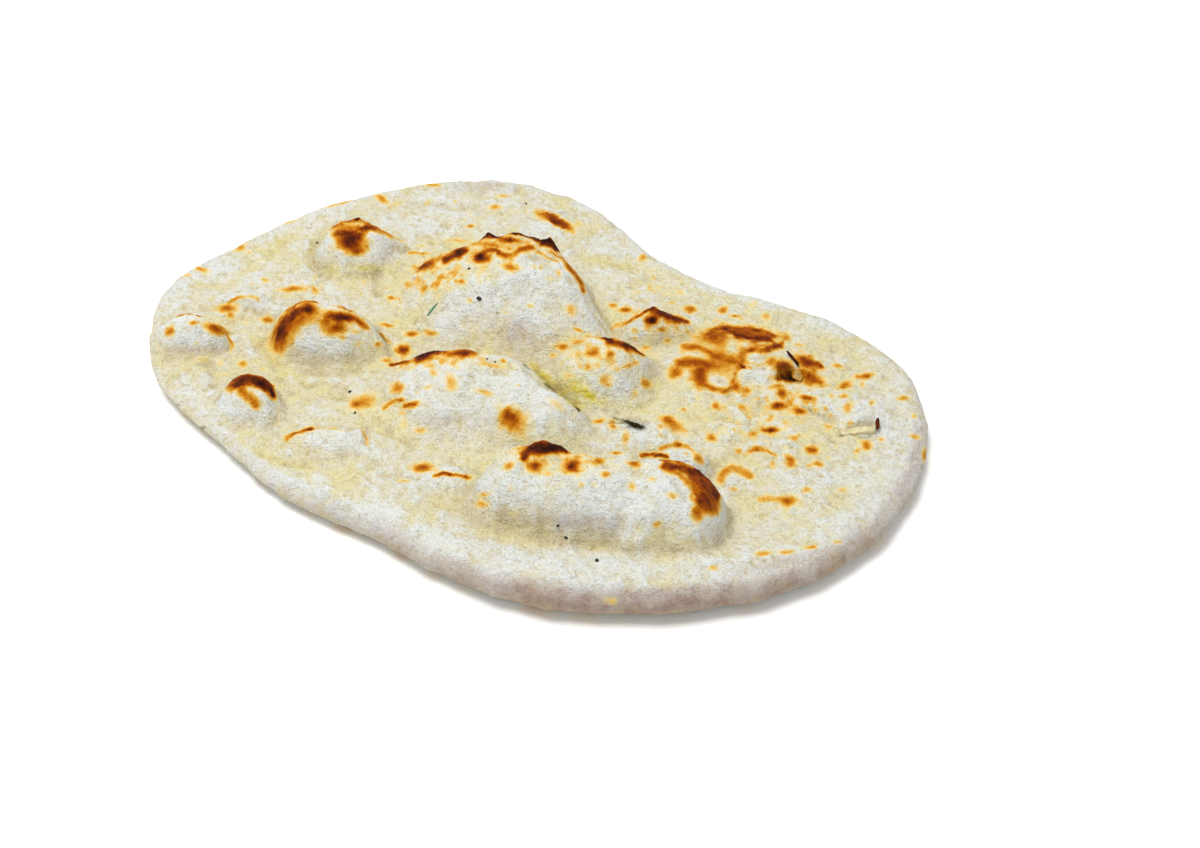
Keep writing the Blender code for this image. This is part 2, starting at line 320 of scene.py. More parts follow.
@dataclass
class BreadForm:
    """The bread's outline, its rim and the relief of its upper skin."""

    oval_length: float = 286.0
    oval_width: float = 180.0
    dough_thickness: float = 8.5
    outline_wander: float = 0.9
    outline_wave: float = 11.0
    lobes: tuple[Lobe, ...] = (
        Lobe("far right shoulder", 40, 30, 33),
        Lobe("waist on the far side", 72, 15, -6),
        Lobe("far side, left of the waist", 116, 14.5, 9.5),
        Lobe("far left shoulder", 137, 22, 20),
        Lobe("left tip", 197, 10.5, 9.5),
        Lobe("near left shoulder", 215, 19, 24.5),
        Lobe("near side", 250, 24, 13.5),
        Lobe("near right side", 308, 30, 11.5),
    )
    rim_thin: float = 8.0
    rim_thick: float = 15.2
    rim_thick_direction: float = -38.0
    rim_thick_reach: float = 58.0
    lift_low: float = 1.2
    lift_high: float = 3.2
    lift_direction: float = 212.0
    lift_reach: float = 45.0
    rounding_share: float = 0.62
    rim_back_inset: float = 9.0
    rim_back_width: float = 19.0
    curl_width: float = 20.0
    blisters: tuple[Blister, ...] = (
        Blister("great blister", (-34.5, 38), 47, 36, 42, 20, 38, 23.8, 2.1, 8.0, 0.024),
        Blister("long blister", (68, -38), 47, 43, 22, 13, 33, 21.5, 2.7, 4.5),
        Blister("long blister, left knob", (48, -47), 25, 24, 22, 12, 33, 22.5, 2.3, 4.5),
        Blister("long blister, right knob", (86, -26), 28, 25, 26, 13, 33, 22.5, 2.8, 4.5, 0.003),
        Blister("middle blister", (-14, -17), 33, 40, 32, 12, 32, 13.5, 2.1, 5.0),
        Blister("middle blister, tail", (13, -15), 24, 31, 20, 10, 6, 14.0, 2.3, 4.0),
        Blister("round blister by the tip", (-103, 15), 17, 21, 17, 12, 38, 13.2, 2.3, 4.0),
        Blister("left blister", (-77, -33), 18, 29, 16, 10, 32, 16.5, 2.3, 4.0),
        Blister("edge blister", (-112, -64), 16, 16, 10, 8, 30, 10.0, 2.4, 3.5),
        Blister("scorched knob", (-69, -74.5), 12, 14, 15, 8, 22, 11.0, 2.4, 3.5, 0.02),
        Blister("low edge blister", (-32, -74), 16, 16, 9, 7, 40, 4.0, 2.3, 3.0),
        Blister("heart blister", (21, 20), 20, 22, 23, 10, 32, 14.8, 2.1, 5.0),
        Blister("small far blister", (23, 51), 14, 15, 9, 8, 40, 10.5, 2.2, 4.0),
        Blister("burst blister", (60, 55), 31, 32, 25, 18, 36, 5.5, 2.0, 4.0),
        Blister("slit blister", (58, 1), 23, 23, 12, 8, 30, 4.5, 2.1, 3.0),
        Blister("torn blister", (104, 58), 18, 18, 11, 12, 20, 4.5, 2.1, 3.0),
        Blister("low right blister", (110, 12), 18, 18, 18, 14, 36, 4.0, 2.0, 3.0),
        Blister("blister behind the long one", (77, -4), 13, 13, 8, 7, 20, 9.2, 2.2, 3.5),
        Blister("front ripple", (15, -61), 14, 14, 8, 5, 36, 3.8, 2.2, 3.0),
        Blister("back left pimple", (-114, -37), 10, 10, 9, 6, 50, 4.2, 2.2, 3.0),
        Blister("swell right of the long one", (98, 4), 12, 14, 9, 6, 38, 3.0, 2.2, 2.5),
        Blister("swell below the torn blister", (97, 24), 12, 13, 8, 6, 34, 3.0, 2.2, 2.5),
        Blister("swell on the shelf", (78, 20), 12, 13, 9, 7, 30, 2.6, 2.1, 2.5),
    )
    crest_points: tuple[CrestPoint, ...] = (
        CrestPoint((-55, 26), 4.0, 1.6),
        CrestPoint((-50, 37), 4.5, 3.6),
        CrestPoint((-27, 48), 5.0, 4.0),
        CrestPoint((-108, 16), 3.0, 1.2),
        CrestPoint((-104, 19), 3.0, 1.8),
        CrestPoint((21, 52), 3.5, 2.0),
        CrestPoint((48, -44), 9.0, 2.0),
    )
    breaks: tuple[Break, ...] = (
        Break("burst hole", (80, 61), 7.0, 4.0, 40, 5.0),
        Break("slit", (49, 1.5), 7.5, 2.0, 24, 4.5),
        Break("torn tunnel", (116, 53), 8.0, 2.4, 54, 2.4),
    )
    folds: tuple[Fold, ...] = (
        Fold("deep crease by the heart blister", ((-2, 2), (10, 0), (20, -1), (29, -3)), 3.0, 3.2),
        Fold("fold on the left", ((-94, -48), (-82, -53), (-71, -56)), 3.5, 1.5),
        Fold("fold near the left edge", ((-50, -91), (-40, -92), (-31, -90), (-27, -86)), 3.0, 1.2),
        Fold("fold behind the tip", ((-129, -26), (-129, -12), (-130, 2), (-129, 13)), 4.5, 1.2),
        Fold("fold by the round blister", ((-124, 14), (-116, 2), (-104, -4), (-98, -3)), 3.0, 1.3),
        Fold("crease right of the left blister", ((-62, -17), (-51, -20), (-46, -24)), 2.2, 1.8),
        Fold("crease round the edge blister", ((-104, -53), (-99, -57), (-96, -62)), 2.0, 1.8),
        Fold("crease right of the knob", ((-61, -68), (-57, -73), (-52, -79)), 2.0, 1.2),
        Fold("crease by the low edge blister", ((-26, -60), (-20, -64), (-18, -67)), 2.0, 1.6),
        Fold("crease on the middle blister", ((-42, -30), (-34, -24), (-28, -19)), 1.8, 1.4),
        Fold("foot of the long blister", ((40, -71), (62, -65), (80, -55), (98, -44), (108, -33)), 3.0, 0.9),
        Fold("cracked line", ((90, 52), (98, 50), (106, 50)), 1.6, 1.3),
        Fold("far valley", ((-40, 68), (-27, 73), (-8, 78), (6, 77)), 5.0, 1.3),
        Fold("wrinkle above the round blister", ((-101, 35), (-93, 41), (-84, 50)), 3.0, -1.2),
        Fold("rim's inner line", ((95, -70), (117, -47), (129, -28), (142, -12)), 4.0, 0.7),
        Fold("front wrinkle", ((-6, -74), (4, -71), (12, -66)), 2.5, 1.2),
        Fold("shelf right of the middle", ((40, -11), (52, -8), (66, -10)), 3.0, 0.8),
        Fold("stretch line", ((-64, -58), (-53, -50), (-44, -47)), 3.0, 1.1),
        Fold("front lip of the slit", ((43, -4), (50, -2), (57, 2)), 1.6, -1.2),
        Fold("flap's left edge", ((66, 50), (67, 54), (72, 58), (78, 58)), 1.8, -1.3),
        Fold("flap's foot", ((63, 49), (64, 54), (68, 60), (75, 61)), 1.5, 1.2),
        Fold("torn skin's ridge", ((47, 50), (53, 52), (60, 55)), 1.8, -1.0),
        Fold("far edge of the burst", ((44, 62), (52, 68), (62, 73), (74, 72)), 1.6, 1.0),
        Fold("groove left of the tip blister", ((-118, 34), (-121, 24), (-120, 12), (-114, 4)), 3.5, 1.7),
        Fold("fold round the left blister", ((-98, -30), (-94, -42), (-86, -50)), 3.0, 1.8),
        Fold("long fold on the left", ((-126, -52), (-116, -42), (-104, -36), (-94, -34)), 3.0, 1.7),
        Fold("fold from the knob to the rim", ((-84, -78), (-92, -72), (-100, -70)), 2.6, 1.7),
        Fold("near left rim's inner line", ((-122, -70), (-104, -84), (-82, -95), (-60, -99)), 3.5, 0.8),
        Fold("valley below the left blister", ((-66, -52), (-56, -44), (-50, -34)), 3.0, 1.5),
        Fold("far left groove", ((-112, 52), (-98, 62), (-82, 70), (-64, 76)), 4.0, 1.4),
        Fold("crease left of the great blister", ((-84, 36), (-88, 22), (-84, 8), (-74, -2)), 2.6, 1.7),
        Fold("middle fold", ((-52, -58), (-40, -48), (-26, -44), (-14, -48)), 2.6, 1.4),
        Fold("fold below the middle", ((-28, -52), (-14, -56), (0, -54)), 2.4, 1.2),
        Fold("rim step on the far left", ((-108, 56), (-103, 61), (-97, 64)), 2.0, 0.9),
        Fold("notch in the rim", ((128, -40), (133, -44), (138, -46)), 1.8, 1.2),
        Fold("swirl of torn skin", ((52, 61.5), (54, 58), (57, 56.5)), 1.1, -0.9),
        Fold("curled flake", ((58, 59.5), (61.5, 63.8)), 1.1, -0.8),
        Fold("far curled flake", ((64.5, 66), (66, 70.5)), 1.0, -0.7),
        Fold("left curled flake", ((60, 37), (66.5, 38.7)), 1.2, -0.7),
        Fold("small flap", ((63, 53), (69, 58.5)), 1.6, -1.2),
        Fold("large flap's crest", ((66, 46), (70, 50), (76, 55)), 2.4, -1.3),
    )
    pimples: tuple[Pimples, ...] = (
        Pimples("round the burst", (62, 52), (34, 24), 46, (1.6, 4.2), (0.5, 1.6)),
        Pimples("right plateau", (96, 24), (34, 34), 52, (1.6, 4.0), (0.3, 0.9)),
        Pimples("slit shelf", (58, -2), (26, 14), 22, (1.6, 3.6), (0.3, 0.9)),
        Pimples("heart blister", (22, 22), (18, 18), 16, (1.6, 3.2), (0.3, 0.8)),
        Pimples("great blister's left", (-66, 20), (16, 18), 16, (1.5, 3.2), (0.3, 0.9)),
        Pimples("left field", (-95, -25), (42, 46), 34, (2.0, 4.5), (0.25, 0.7)),
        Pimples("far field", (-60, 74), (50, 16), 20, (2.0, 4.5), (0.25, 0.7)),
        Pimples("between the blisters", (-48, -12), (16, 14), 14, (1.5, 3.2), (0.3, 0.9)),
        Pimples("crumbs on the near left rim", (-11, -97), (16, 3), 26, (0.8, 1.6), (0.4, 1.0)),
    )
    blister_wander: float = 1.8
    blister_wave: float = 17.0
    blister_edge_wander: float = 0.5
    blister_lumps: float = 0.09
    blister_squareness: float = 2.2
    foot_on_blister: float = 1.2
    foot_overlap: float = 4.0
    torn_edge: float = 0.35
    point_sharpness: float = 1.2
    break_steepness: float = 2.5
    fold_wander: float = 1.2
    fold_steepness: float = 1.6
    fold_end_steepness: float = 5.0
    fold_end_share: float = 0.15
    pimple_seed: int = 5
    pimple_scatter: float = 0.5
    pimple_stretch: tuple[float, float] = (0.7, 1.5)
    pimple_sharpness: float = 1.3
    swell_height: float = 1.3
    roll_height: float = 0.7
    wrinkle_height: float = 0.45
    dimple_depth: float = 0.6
    grain_height: float = 0.3

    def radius(self, angle: np.ndarray) -> np.ndarray:
        """Distance from the middle to the outline.

        Args:
            angle: Directions, in radians.

        Returns:
            One distance for each direction, in millimetres.
        """
        half_length, half_width = self.oval_length / 2, self.oval_width / 2
        radius = half_length * half_width / np.hypot(
            half_width * np.cos(angle), half_length * np.sin(angle)
        )
        for lobe in self.lobes:
            radius = radius + lobe.push * toward(angle, lobe.direction, lobe.reach)
        x, y = radius * np.cos(angle), radius * np.sin(angle)
        wander = waves(x, y, self.outline_wave, seed=83.0, octaves=3)
        return radius + self.outline_wander * wander - self.outline_wander / 2

    def squareness(self, angle: np.ndarray) -> np.ndarray:
        """How squarely the outline faces outwards.

        Args:
            angle: Directions, in radians.

        Returns:
            1 where the outline runs across the radius, and less where it slants.
        """
        step = 0.01
        slope = (self.radius(angle + step) - self.radius(angle - step)) / (2 * step)
        return np.cos(np.arctan2(slope, self.radius(angle)))

    def rim_height(self, angle: np.ndarray) -> np.ndarray:
        """Height of the rim's back above the surface that the bread rests on."""
        thick = toward(angle, self.rim_thick_direction, self.rim_thick_reach)
        return self.rim_thin + (self.rim_thick - self.rim_thin) * thick

    def rim_lift(self, angle: np.ndarray) -> np.ndarray:
        """How far the underside leaves the surface at the rim."""
        high = toward(angle, self.lift_direction, self.lift_reach)
        return self.lift_low + (self.lift_high - self.lift_low) * high

    def blister_relief(self, x: np.ndarray, y: np.ndarray) -> np.ndarray:
        """Height of the blistered skin above the dough.

        Args:
            x: Places along the bread.
            y: Places across the bread.

        Returns:
            One height for each place, in millimetres.
        """
        x = x + waves(x, y, self.blister_wave, seed=3.1) * self.blister_wander
        y = y + waves(x, y, self.blister_wave, seed=7.7) * self.blister_wander
        fine = waves(x, y, size=6.0, seed=21.3) * self.blister_edge_wander
        lumps = 1 + self.blister_lumps * waves(x, y, size=9.0, seed=11.3)
        square = self.blister_squareness
        relief = np.zeros_like(x)
        for blister in self.blisters:
            turn = math.radians(blister.turn)
            dx, dy = x + fine - blister.top[0], y - fine - blister.top[1]
            along = dx * math.cos(turn) + dy * math.sin(turn)
            across = dy * math.cos(turn) - dx * math.sin(turn)
            across += blister.bend * np.maximum(along, 0) ** 2
            along /= np.where(along > 0, blister.ahead, blister.behind)
            across /= np.where(across > 0, blister.far, blister.near)
            reach = (np.abs(along) ** square + np.abs(across) ** square) ** (1 / square)
            dome = (1 - reach**blister.fullness) * blister.height * lumps
            on_another = smooth_step(relief / self.foot_overlap)
            foot = blister.foot + (self.foot_on_blister - blister.foot) * on_another
            relief = larger_of(relief, dome, foot)
        return relief

    def small_relief(self, x: np.ndarray, y: np.ndarray) -> np.ndarray:
        """Burst points, folds and small blisters, less the breaks in the skin.

        Args:
            x: Places along the bread.
            y: Places across the bread.

        Returns:
            One height for each place, in millimetres.
        """
        relief = np.zeros_like(x)
        ragged = 1 + self.torn_edge * waves(x, y, size=2.5, seed=31.7)
        for point in self.crest_points:
            gap = np.hypot(x - point.place[0], y - point.place[1]) / point.radius
            relief += point.height * np.clip(1 - gap, 0, 1) ** self.point_sharpness * ragged
        for gash in self.breaks:
            turn = math.radians(gash.turn)
            dx, dy = x - gash.place[0], y - gash.place[1]
            along = (dx * math.cos(turn) + dy * math.sin(turn)) / gash.half_length
            across = (dy * math.cos(turn) - dx * math.sin(turn)) / gash.half_width
            inside = (1 - np.hypot(along, across) * ragged) * self.break_steepness
            relief -= gash.depth * smooth_step(inside)
        wander = self.fold_wander * waves(x, y, size=7.0, seed=17.9)
        for fold in self.folds:
            gap, along = path_distance(x + wander, y + wander, fold.path)
            ends = np.minimum(along, 1 - along) * self.fold_end_steepness
            ends = smooth_step(ends + self.fold_end_share)
            relief -= fold.depth * np.exp(-((gap / fold.width) ** 2) * self.fold_steepness) * ends
        draw = np.random.default_rng(self.pimple_seed)
        for patch in self.pimples:
            for _ in range(patch.count):
                px, py = np.array(patch.place) + draw.normal(0, self.pimple_scatter, 2) * patch.reach
                radius = draw.uniform(*patch.radius)
                height = draw.uniform(*patch.height)
                stretch = draw.uniform(*self.pimple_stretch)
                near = np.abs(x - px) + np.abs(y - py) < 4 * radius
                gap = np.hypot((x[near] - px) * stretch, (y[near] - py) / stretch) / radius
                relief[near] += height * np.clip(1 - gap**2, 0, 1) ** self.pimple_sharpness
        return relief

    def grain(self, x: np.ndarray, y: np.ndarray) -> np.ndarray:
        """The skin's own small unevenness, from stretch wrinkles down to grain.

        Args:
            x: Places along the bread.
            y: Places across the bread.

        Returns:
            One height for each place, in millimetres.
        """
        wrinkles = 1 - 2 * np.abs(waves(x + 0.4 * y, y * 1.6, size=8.0, seed=41.1, octaves=3))
        dimples = np.abs(waves(x, y, size=5.0, seed=43.7))
        return (
            self.swell_height * waves(x, y, size=42.0, seed=1.7)
            + self.roll_height * waves(x, y, size=13.0, seed=5.9)
            + self.wrinkle_height * wrinkles
            - self.dimple_depth * dimples
            + self.grain_height * waves(x, y, size=3.2, seed=45.3, octaves=3)
        )

    def upper(self, x: np.ndarray, y: np.ndarray, angle: np.ndarray, inset: np.ndarray) -> np.ndarray:
        """Height of the upper skin.

        Args:
            x: Places along the bread.
            y: Places across the bread.
            angle: Directions of the places from the middle, in radians.
            inset: How far inside the outline they are.

        Returns:
            One height for each place, in millimetres.
        """
        back = np.exp(-(((inset - self.rim_back_inset) / self.rim_back_width) ** 2))
        back = np.where(inset < self.rim_back_inset, 1.0, back)
        dough = self.dough_thickness + (self.rim_height(angle) - self.dough_thickness) * back
        return dough + self.grain(x, y) + self.blister_relief(x, y) + self.small_relief(x, y)

    def lower(self, angle: np.ndarray, inset: np.ndarray) -> np.ndarray:
        """Height of the underside: flat in the middle, curling up a little towards the rim."""
        return self.rim_lift(angle) * np.clip(1 - inset / self.curl_width, 0, 1) ** 2

    def shaped(self, square: np.ndarray, fold_deg: float) -> np.ndarray:
        """Moves the points of a flat box, with sides from -1 to 1, to the bread's skin.

        Args:
            square: Rows of x, y and z in the box.
            fold_deg: How far round the edge the box's side reaches, up and down.

        Returns:
            Rows of x, y and z in millimetres.
        """
        s, t, level = square.T
        disc_x, disc_y = s * np.sqrt(1 - t**2 / 2), t * np.sqrt(1 - s**2 / 2)
        share = np.hypot(disc_x, disc_y)
        angle = np.arctan2(disc_y * self.oval_width, disc_x * self.oval_length)
        squareness = self.squareness(angle)
        height, lift = self.rim_height(angle), self.rim_lift(angle)
        rounding = height * self.rounding_share

        fold = math.radians(fold_deg)
        turn = np.where(np.abs(level) < FLAT_LEVEL, fold * level, fold)
        edge_inset = rounding * (1 - np.cos(turn))
        distance = share * (self.radius(angle) - edge_inset / squareness)
        inset = np.maximum((self.radius(angle) - distance) * squareness, 0.0)
        x, y = distance * np.cos(angle), distance * np.sin(angle)

        bulge = np.sqrt(np.clip(1 - np.clip(1 - inset / rounding, 0, 1) ** 2, 0, 1))
        waist = (height + lift) / 2
        skin = np.where(level > 0, 0.0, self.lower(angle, inset))
        upper = level > 0
        skin[upper] = self.upper(x[upper], y[upper], angle[upper], inset[upper])
        return np.column_stack([x, y, waist + (skin - waist) * bulge])


# Marks on the skin


class Tone(Enum):
    """What a mark does to the skin's colour. The value names the attribute that carries it."""

    SCORCH = "scorch"
    BUTTER = "butter"
    # Partly real flour, partly painted light: whitens high ground and lightens blister feet where shade
    # falls
    FLOUR_AND_LIGHT = "flour"
    # Painted shade: a mauve darkening on the rim's side and at the feet of blisters, where shade falls
    PAINTED_SHADE = "blush"
    # Painted shadow: near black laid in the hole, the slit, deep creases and notches, where there is only
    # shadow
    HOLLOW_SHADOW = "hollow"
    # Painted shade: tan darkening in creases, valleys and along the feet of blisters
    CREASE_SHADE = "crease"
    UNDERSIDE = "underside"


def write_tone(mesh: bpy.types.Mesh, tone: Tone, values: np.ndarray) -> None:
    """Writes a tone's values, one for each point of a mesh."""
    attribute = mesh.attributes.new(tone.value, "FLOAT", "POINT")
    attribute.data.foreach_set("value", values.astype(np.float32))


@dataclass(frozen=True)
class Spot:
    """An oval mark: its middle, size and tilt in the photograph, its strength, patches and edge."""

    column: float
    row: float
    width: float
    height: float
    strength: float
    tilt: float = 0.0
    patchy: float = 0.0
    edge: float = 2.1


@dataclass(frozen=True)
class Stroke:
    """A mark along a line in the photograph."""

    path: tuple[Pixel, ...]
    width: float
    strength: float
    edge: float = 2.1


@dataclass(frozen=True)
class Freckles:
    """A patch of small toasted spots, scattered by a seeded draw."""

    column: float
    row: float
    width: float
    height: float
    count: int
    strength: tuple[float, float]


TIP_MARKS = (
    Spot(351, 240, 30, 24, 0.86, 0, 0, 3),
    Spot(345, 234, 22, 10, 0.9),
    Spot(356, 250, 24, 11, 0.62),
    Spot(366, 228, 26, 7, 0.84),
    Spot(350, 228, 42, 9, 0.52, 4),
    Stroke(((370, 227), (383, 232), (392, 237)), 5, 0.44),
    Stroke(((328, 229), (338, 224), (350, 221), (362, 221), (372, 225), (384, 233)), 5, 0.6),
    Stroke(((384, 232), (394, 236), (403, 242)), 2.5, 0.35),
    Spot(345, 220, 9, 3, 1.0),
    Spot(357, 219, 9, 5, 1.0),
    Spot(240, 248, 12, 7, 0.45, -30),
    Spot(249, 253, 8, 3, 0.3),
    Spot(245, 242, 9, 3, 0.4, -30),
    Spot(200, 269, 18, 6, 0.45, 20),
    Spot(187, 275, 8, 4, 0.3),
    Spot(265, 280, 10, 5, 0.38),
    Spot(293, 289, 26, 6, 0.58, -3),
    Spot(315, 290, 7, 9, 0.45, -30),
    Spot(382, 199, 16, 7, 0.48, 35),
    Stroke(((314, 209), (330, 206), (345, 203), (356, 198)), 2.5, 0.35),
    Spot(290, 222, 14, 3, 0.32, -10),
)
LEFT_MARKS = (
    Spot(227, 308, 20, 9, 0.62, -8),
    Stroke(((228, 303), (238, 298), (250, 296), (258, 299)), 3.5, 0.5),
    Spot(231, 315, 9, 7, 0.42),
    Stroke(((172, 316), (180, 314), (190, 313), (203, 315), (212, 318)), 3.2, 0.9),
    Stroke(((212, 318), (220, 324), (227, 332), (231, 343)), 2.6, 0.6),
    Spot(170, 331, 12, 10, 0.58, -40),
    Spot(193, 323, 10, 5, 0.52),
    Spot(215, 329, 24, 9, 0.7, 25),
    Spot(203, 360, 14, 5, 0.28),
    Spot(220, 363, 10, 8, 0.22),
    Spot(243, 364, 10, 8, 0.48, 15),
    Spot(262, 369, 8, 4, 0.3),
    Stroke(((229, 338), (232, 345), (230, 353)), 3, 0.42),
    Stroke(((279, 338), (281, 329), (287, 320), (296, 313), (308, 309)), 13, 0.92),
    Stroke(((279, 344), (284, 331), (295, 320), (310, 312)), 21, 0.62),
    Spot(340, 317, 34, 11, 0.95, 6),
    Stroke(((350, 317), (358, 321), (367, 327)), 7, 0.72),
    Spot(336, 328, 28, 13, 0.66, -10),
    Spot(327, 322, 17, 13, 0.6),
    Spot(342, 338, 6, 6, 0.42),
    Spot(268, 320, 12, 8, 0.55),
    Stroke(((285, 312), (298, 303), (310, 301), (322, 302), (336, 305), (351, 310)), 2.6, 0.75),
    Stroke(((380, 333), (386, 340), (391, 345)), 2.6, 0.5),
    Spot(378, 345, 7, 6, 0.52),
    Spot(387, 360, 12, 5, 0.48),
    Spot(392, 298, 11, 4, 0.55),
    Spot(387, 325, 17, 4, 0.52, 6),
    Spot(412, 334, 15, 6, 0.64, 5),
    Spot(431, 333, 14, 6, 0.55, 10),
    Spot(355, 332, 12, 6, 0.28),
    Spot(358, 344, 12, 5, 0.26),
    Stroke(((236, 382), (243, 380), (252, 380), (262, 382), (268, 387)), 14, 0.92, 3.5),
    Stroke(((262, 381), (269, 388), (273, 396)), 8, 0.95),
    Spot(230, 386, 13, 11, 0.58),
    Stroke(((241, 390), (247, 396), (256, 404)), 11, 0.62),
    Stroke(((276, 396), (279, 410), (278, 425)), 2.2, 0.22),
    Stroke(((286, 438), (294, 434), (303, 431), (312, 429)), 5, 0.78),
    Stroke(((312, 429), (330, 428), (345, 431)), 2.4, 0.3),
    Stroke(((362, 430), (366, 438), (367, 444)), 3, 0.5),
    Spot(336, 491, 10, 6, 0.2),
)
GREAT_BLISTER_MARKS = (
    Spot(472, 246, 56, 14, 0.34, -8, 0.5),
    Spot(516, 245, 60, 16, 0.36, 4, 0.5),
    Spot(437, 262, 46, 14, 0.34, -20, 0.6),
    Spot(450, 276, 70, 22, 0.3, -10, 1.0),
    Spot(428, 282, 44, 30, 0.3, -20, 1.0),
    Spot(488, 234, 12, 7, 1.4),
    Stroke(((479, 238), (487, 235), (498, 236)), 6, 1.2),
    Stroke(((498, 235), (506, 234), (513, 233)), 4, 0.64),
    Stroke(((512, 233), (520, 234), (528, 236), (536, 238)), 3.6, 1.2),
    Spot(546, 241, 22, 10, 1.4, 25),
    Stroke(((536, 238), (545, 240), (552, 242), (557, 249)), 6, 1.3),
    Spot(508, 240, 24, 7, 0.88, 5),
    Stroke(((444, 260), (452, 256), (458, 253), (465, 250)), 8, 0.95),
    Spot(458, 253, 16, 9, 0.96, -25),
    Spot(426, 265, 21, 9, 0.84, -28),
    Spot(481, 257, 19, 12, 1.0, -5),
    Stroke(((484, 253), (490, 250), (498, 251)), 6, 0.74),
    Stroke(((498, 253), (506, 256), (514, 254), (521, 249), (532, 248)), 6, 0.66),
    Spot(528, 247, 12, 6, 0.62, -20),
    Stroke(((470, 243), (480, 244), (494, 245), (510, 248)), 4.5, 0.5),
    Spot(510, 267, 14, 9, 0.58, 10),
    Stroke(((538, 252), (549, 258), (557, 261)), 3, 0.6),
    Stroke(((551, 252), (560, 258)), 3, 0.52),
    Stroke(((563, 258), (568, 267), (576, 275), (581, 283), (584, 291)), 5.5, 0.66),
    Spot(484, 267, 9, 5, 0.32),
    Spot(461, 282, 10, 5, 0.52),
    Spot(424, 289, 9, 7, 0.5, -30),
    Spot(439, 284, 8, 5, 0.22),
    Spot(478, 277, 6, 5, 0.22),
    Spot(410, 283, 9, 5, 0.22),
    Spot(421, 246, 9, 4, 0.24),
    Spot(559, 273, 6, 8, 0.34),
    Spot(550, 279, 8, 6, 0.2),
    Spot(530, 306, 7, 6, 0.3),
    Spot(571, 310, 13, 12, 0.34, 20),
    Spot(505, 312, 9, 5, 0.22),
    Stroke(((409, 253), (424, 253), (437, 254)), 3.4, 0.44),
    Spot(459, 241, 26, 5, 0.34, 8),
    Spot(470, 226, 9, 4, 0.5),
    Spot(495, 207, 13, 6, 0.42),
    Spot(503, 196, 11, 3, 0.34),
    Spot(557, 221, 36, 10, 0.8, 29, 0, 3.5),
    Spot(545, 216, 22, 9, 0.5, 20),
    Spot(578, 224, 8, 5, 0.28, 20),
    Spot(433, 185, 15, 5, 0.45),
    Spot(643, 258, 8, 8, 0.4),
)
MIDDLE_MARKS = (
    Spot(598, 352, 76, 34, 0.3, 10, 1.0),
    Spot(440, 362, 100, 14, 0.3, -4, 1.0),
    Spot(658, 322, 60, 22, 0.45, 14, 1.0),
    Spot(403, 350, 14, 12, 0.8),
    Stroke(((418, 358), (427, 354), (434, 350), (443, 350)), 10, 1.05),
    Stroke(((391, 365), (405, 362), (418, 360), (428, 356)), 4.4, 0.85),
    Spot(462, 353, 31, 10, 0.84, -3),
    Spot(474, 350, 18, 4, 0.7),
    Spot(490, 365, 34, 5, 0.32, 8),
    Spot(503, 361, 8, 5, 0.52),
    Spot(513, 421, 30, 24, 0.58, 40),
    Spot(511, 416, 20, 13, 0.72, 20),
    Spot(451, 383, 12, 18, 0.4, -15),
    Spot(433, 373, 7, 9, 0.38),
    Spot(432, 366, 9, 4, 0.32),
    Spot(485, 393, 20, 5, 0.4, 15),
    Spot(557, 405, 24, 9, 0.22, 35),
    Spot(599, 421, 13, 5, 0.5, -10),
    Spot(613, 426, 9, 5, 0.52, 20),
    Spot(626, 438, 7, 14, 0.38),
    Spot(363, 402, 28, 15, 0.46, -15),
    Spot(356, 404, 12, 8, 0.6, -10),
    Spot(397, 388, 14, 12, 0.5, -20),
    Stroke(((384, 408), (392, 402), (402, 399)), 5, 0.58),
    Spot(410, 405, 18, 6, 0.8, -8),
    Spot(401, 413, 8, 4, 0.35),
    Spot(428, 387, 10, 5, 0.26),
    Spot(405, 367, 10, 5, 0.26),
    Spot(423, 468, 24, 9, 0.62),
    Stroke(((434, 476), (443, 473), (455, 475), (466, 477)), 4, 0.78),
    Spot(468, 478, 9, 5, 0.5),
    Spot(405, 481, 12, 3, 0.38, 8),
    Spot(421, 430, 14, 5, 0.36, -10),
    Spot(404, 424, 8, 12, 0.24),
    Stroke(((593, 335), (605, 338), (618, 342), (630, 347), (642, 350)), 5, 0.85),
    Spot(629, 346, 32, 9, 1.0, 16),
    Stroke(((610, 341), (622, 344), (634, 349), (643, 352)), 8, 0.84, 3),
    Spot(646, 347, 9, 4, 0.45),
    Spot(562, 347, 11, 8, 0.62, -10),
    Spot(592, 353, 14, 7, 0.6, -10),
    Spot(611, 354, 9, 6, 0.58),
    Spot(578, 330, 11, 4, 0.52, 25),
    Spot(590, 335, 13, 4, 0.48, -15),
    Spot(588, 367, 11, 8, 0.42),
    Spot(604, 380, 12, 12, 0.38),
    Spot(579, 342, 16, 6, 0.42, -10),
    Spot(577, 355, 10, 12, 0.3),
    Stroke(((617, 370), (627, 367), (637, 362)), 5, 0.42),
    Spot(646, 383, 13, 9, 0.5, 30),
    Spot(634, 393, 7, 9, 0.3),
    Stroke(((638, 317), (645, 312), (652, 309), (660, 311), (672, 314), (688, 322)), 4, 0.95),
    Stroke(((653, 312), (662, 314), (671, 317), (678, 320)), 9, 0.84, 2.6),
    Spot(686, 322, 9, 4, 0.7, 20),
    Spot(652, 308, 10, 6, 1.0),
    Spot(652, 320, 14, 10, 1.0),
    Spot(662, 329, 9, 5, 0.62),
    Spot(678, 318, 16, 6, 0.92, 20),
    Stroke(((612, 327), (622, 325), (632, 320), (640, 316)), 4.5, 0.55),
    Spot(612, 305, 9, 5, 0.52),
    Spot(625, 310, 17, 6, 0.62),
    Spot(634, 330, 9, 5, 0.38),
    Spot(691, 309, 13, 7, 0.6, 8),
    Spot(723, 310, 10, 8, 0.52),
    Spot(735, 316, 11, 4, 0.54),
    Spot(668, 341, 10, 6, 0.42),
    Spot(672, 303, 8, 3, 0.36),
)
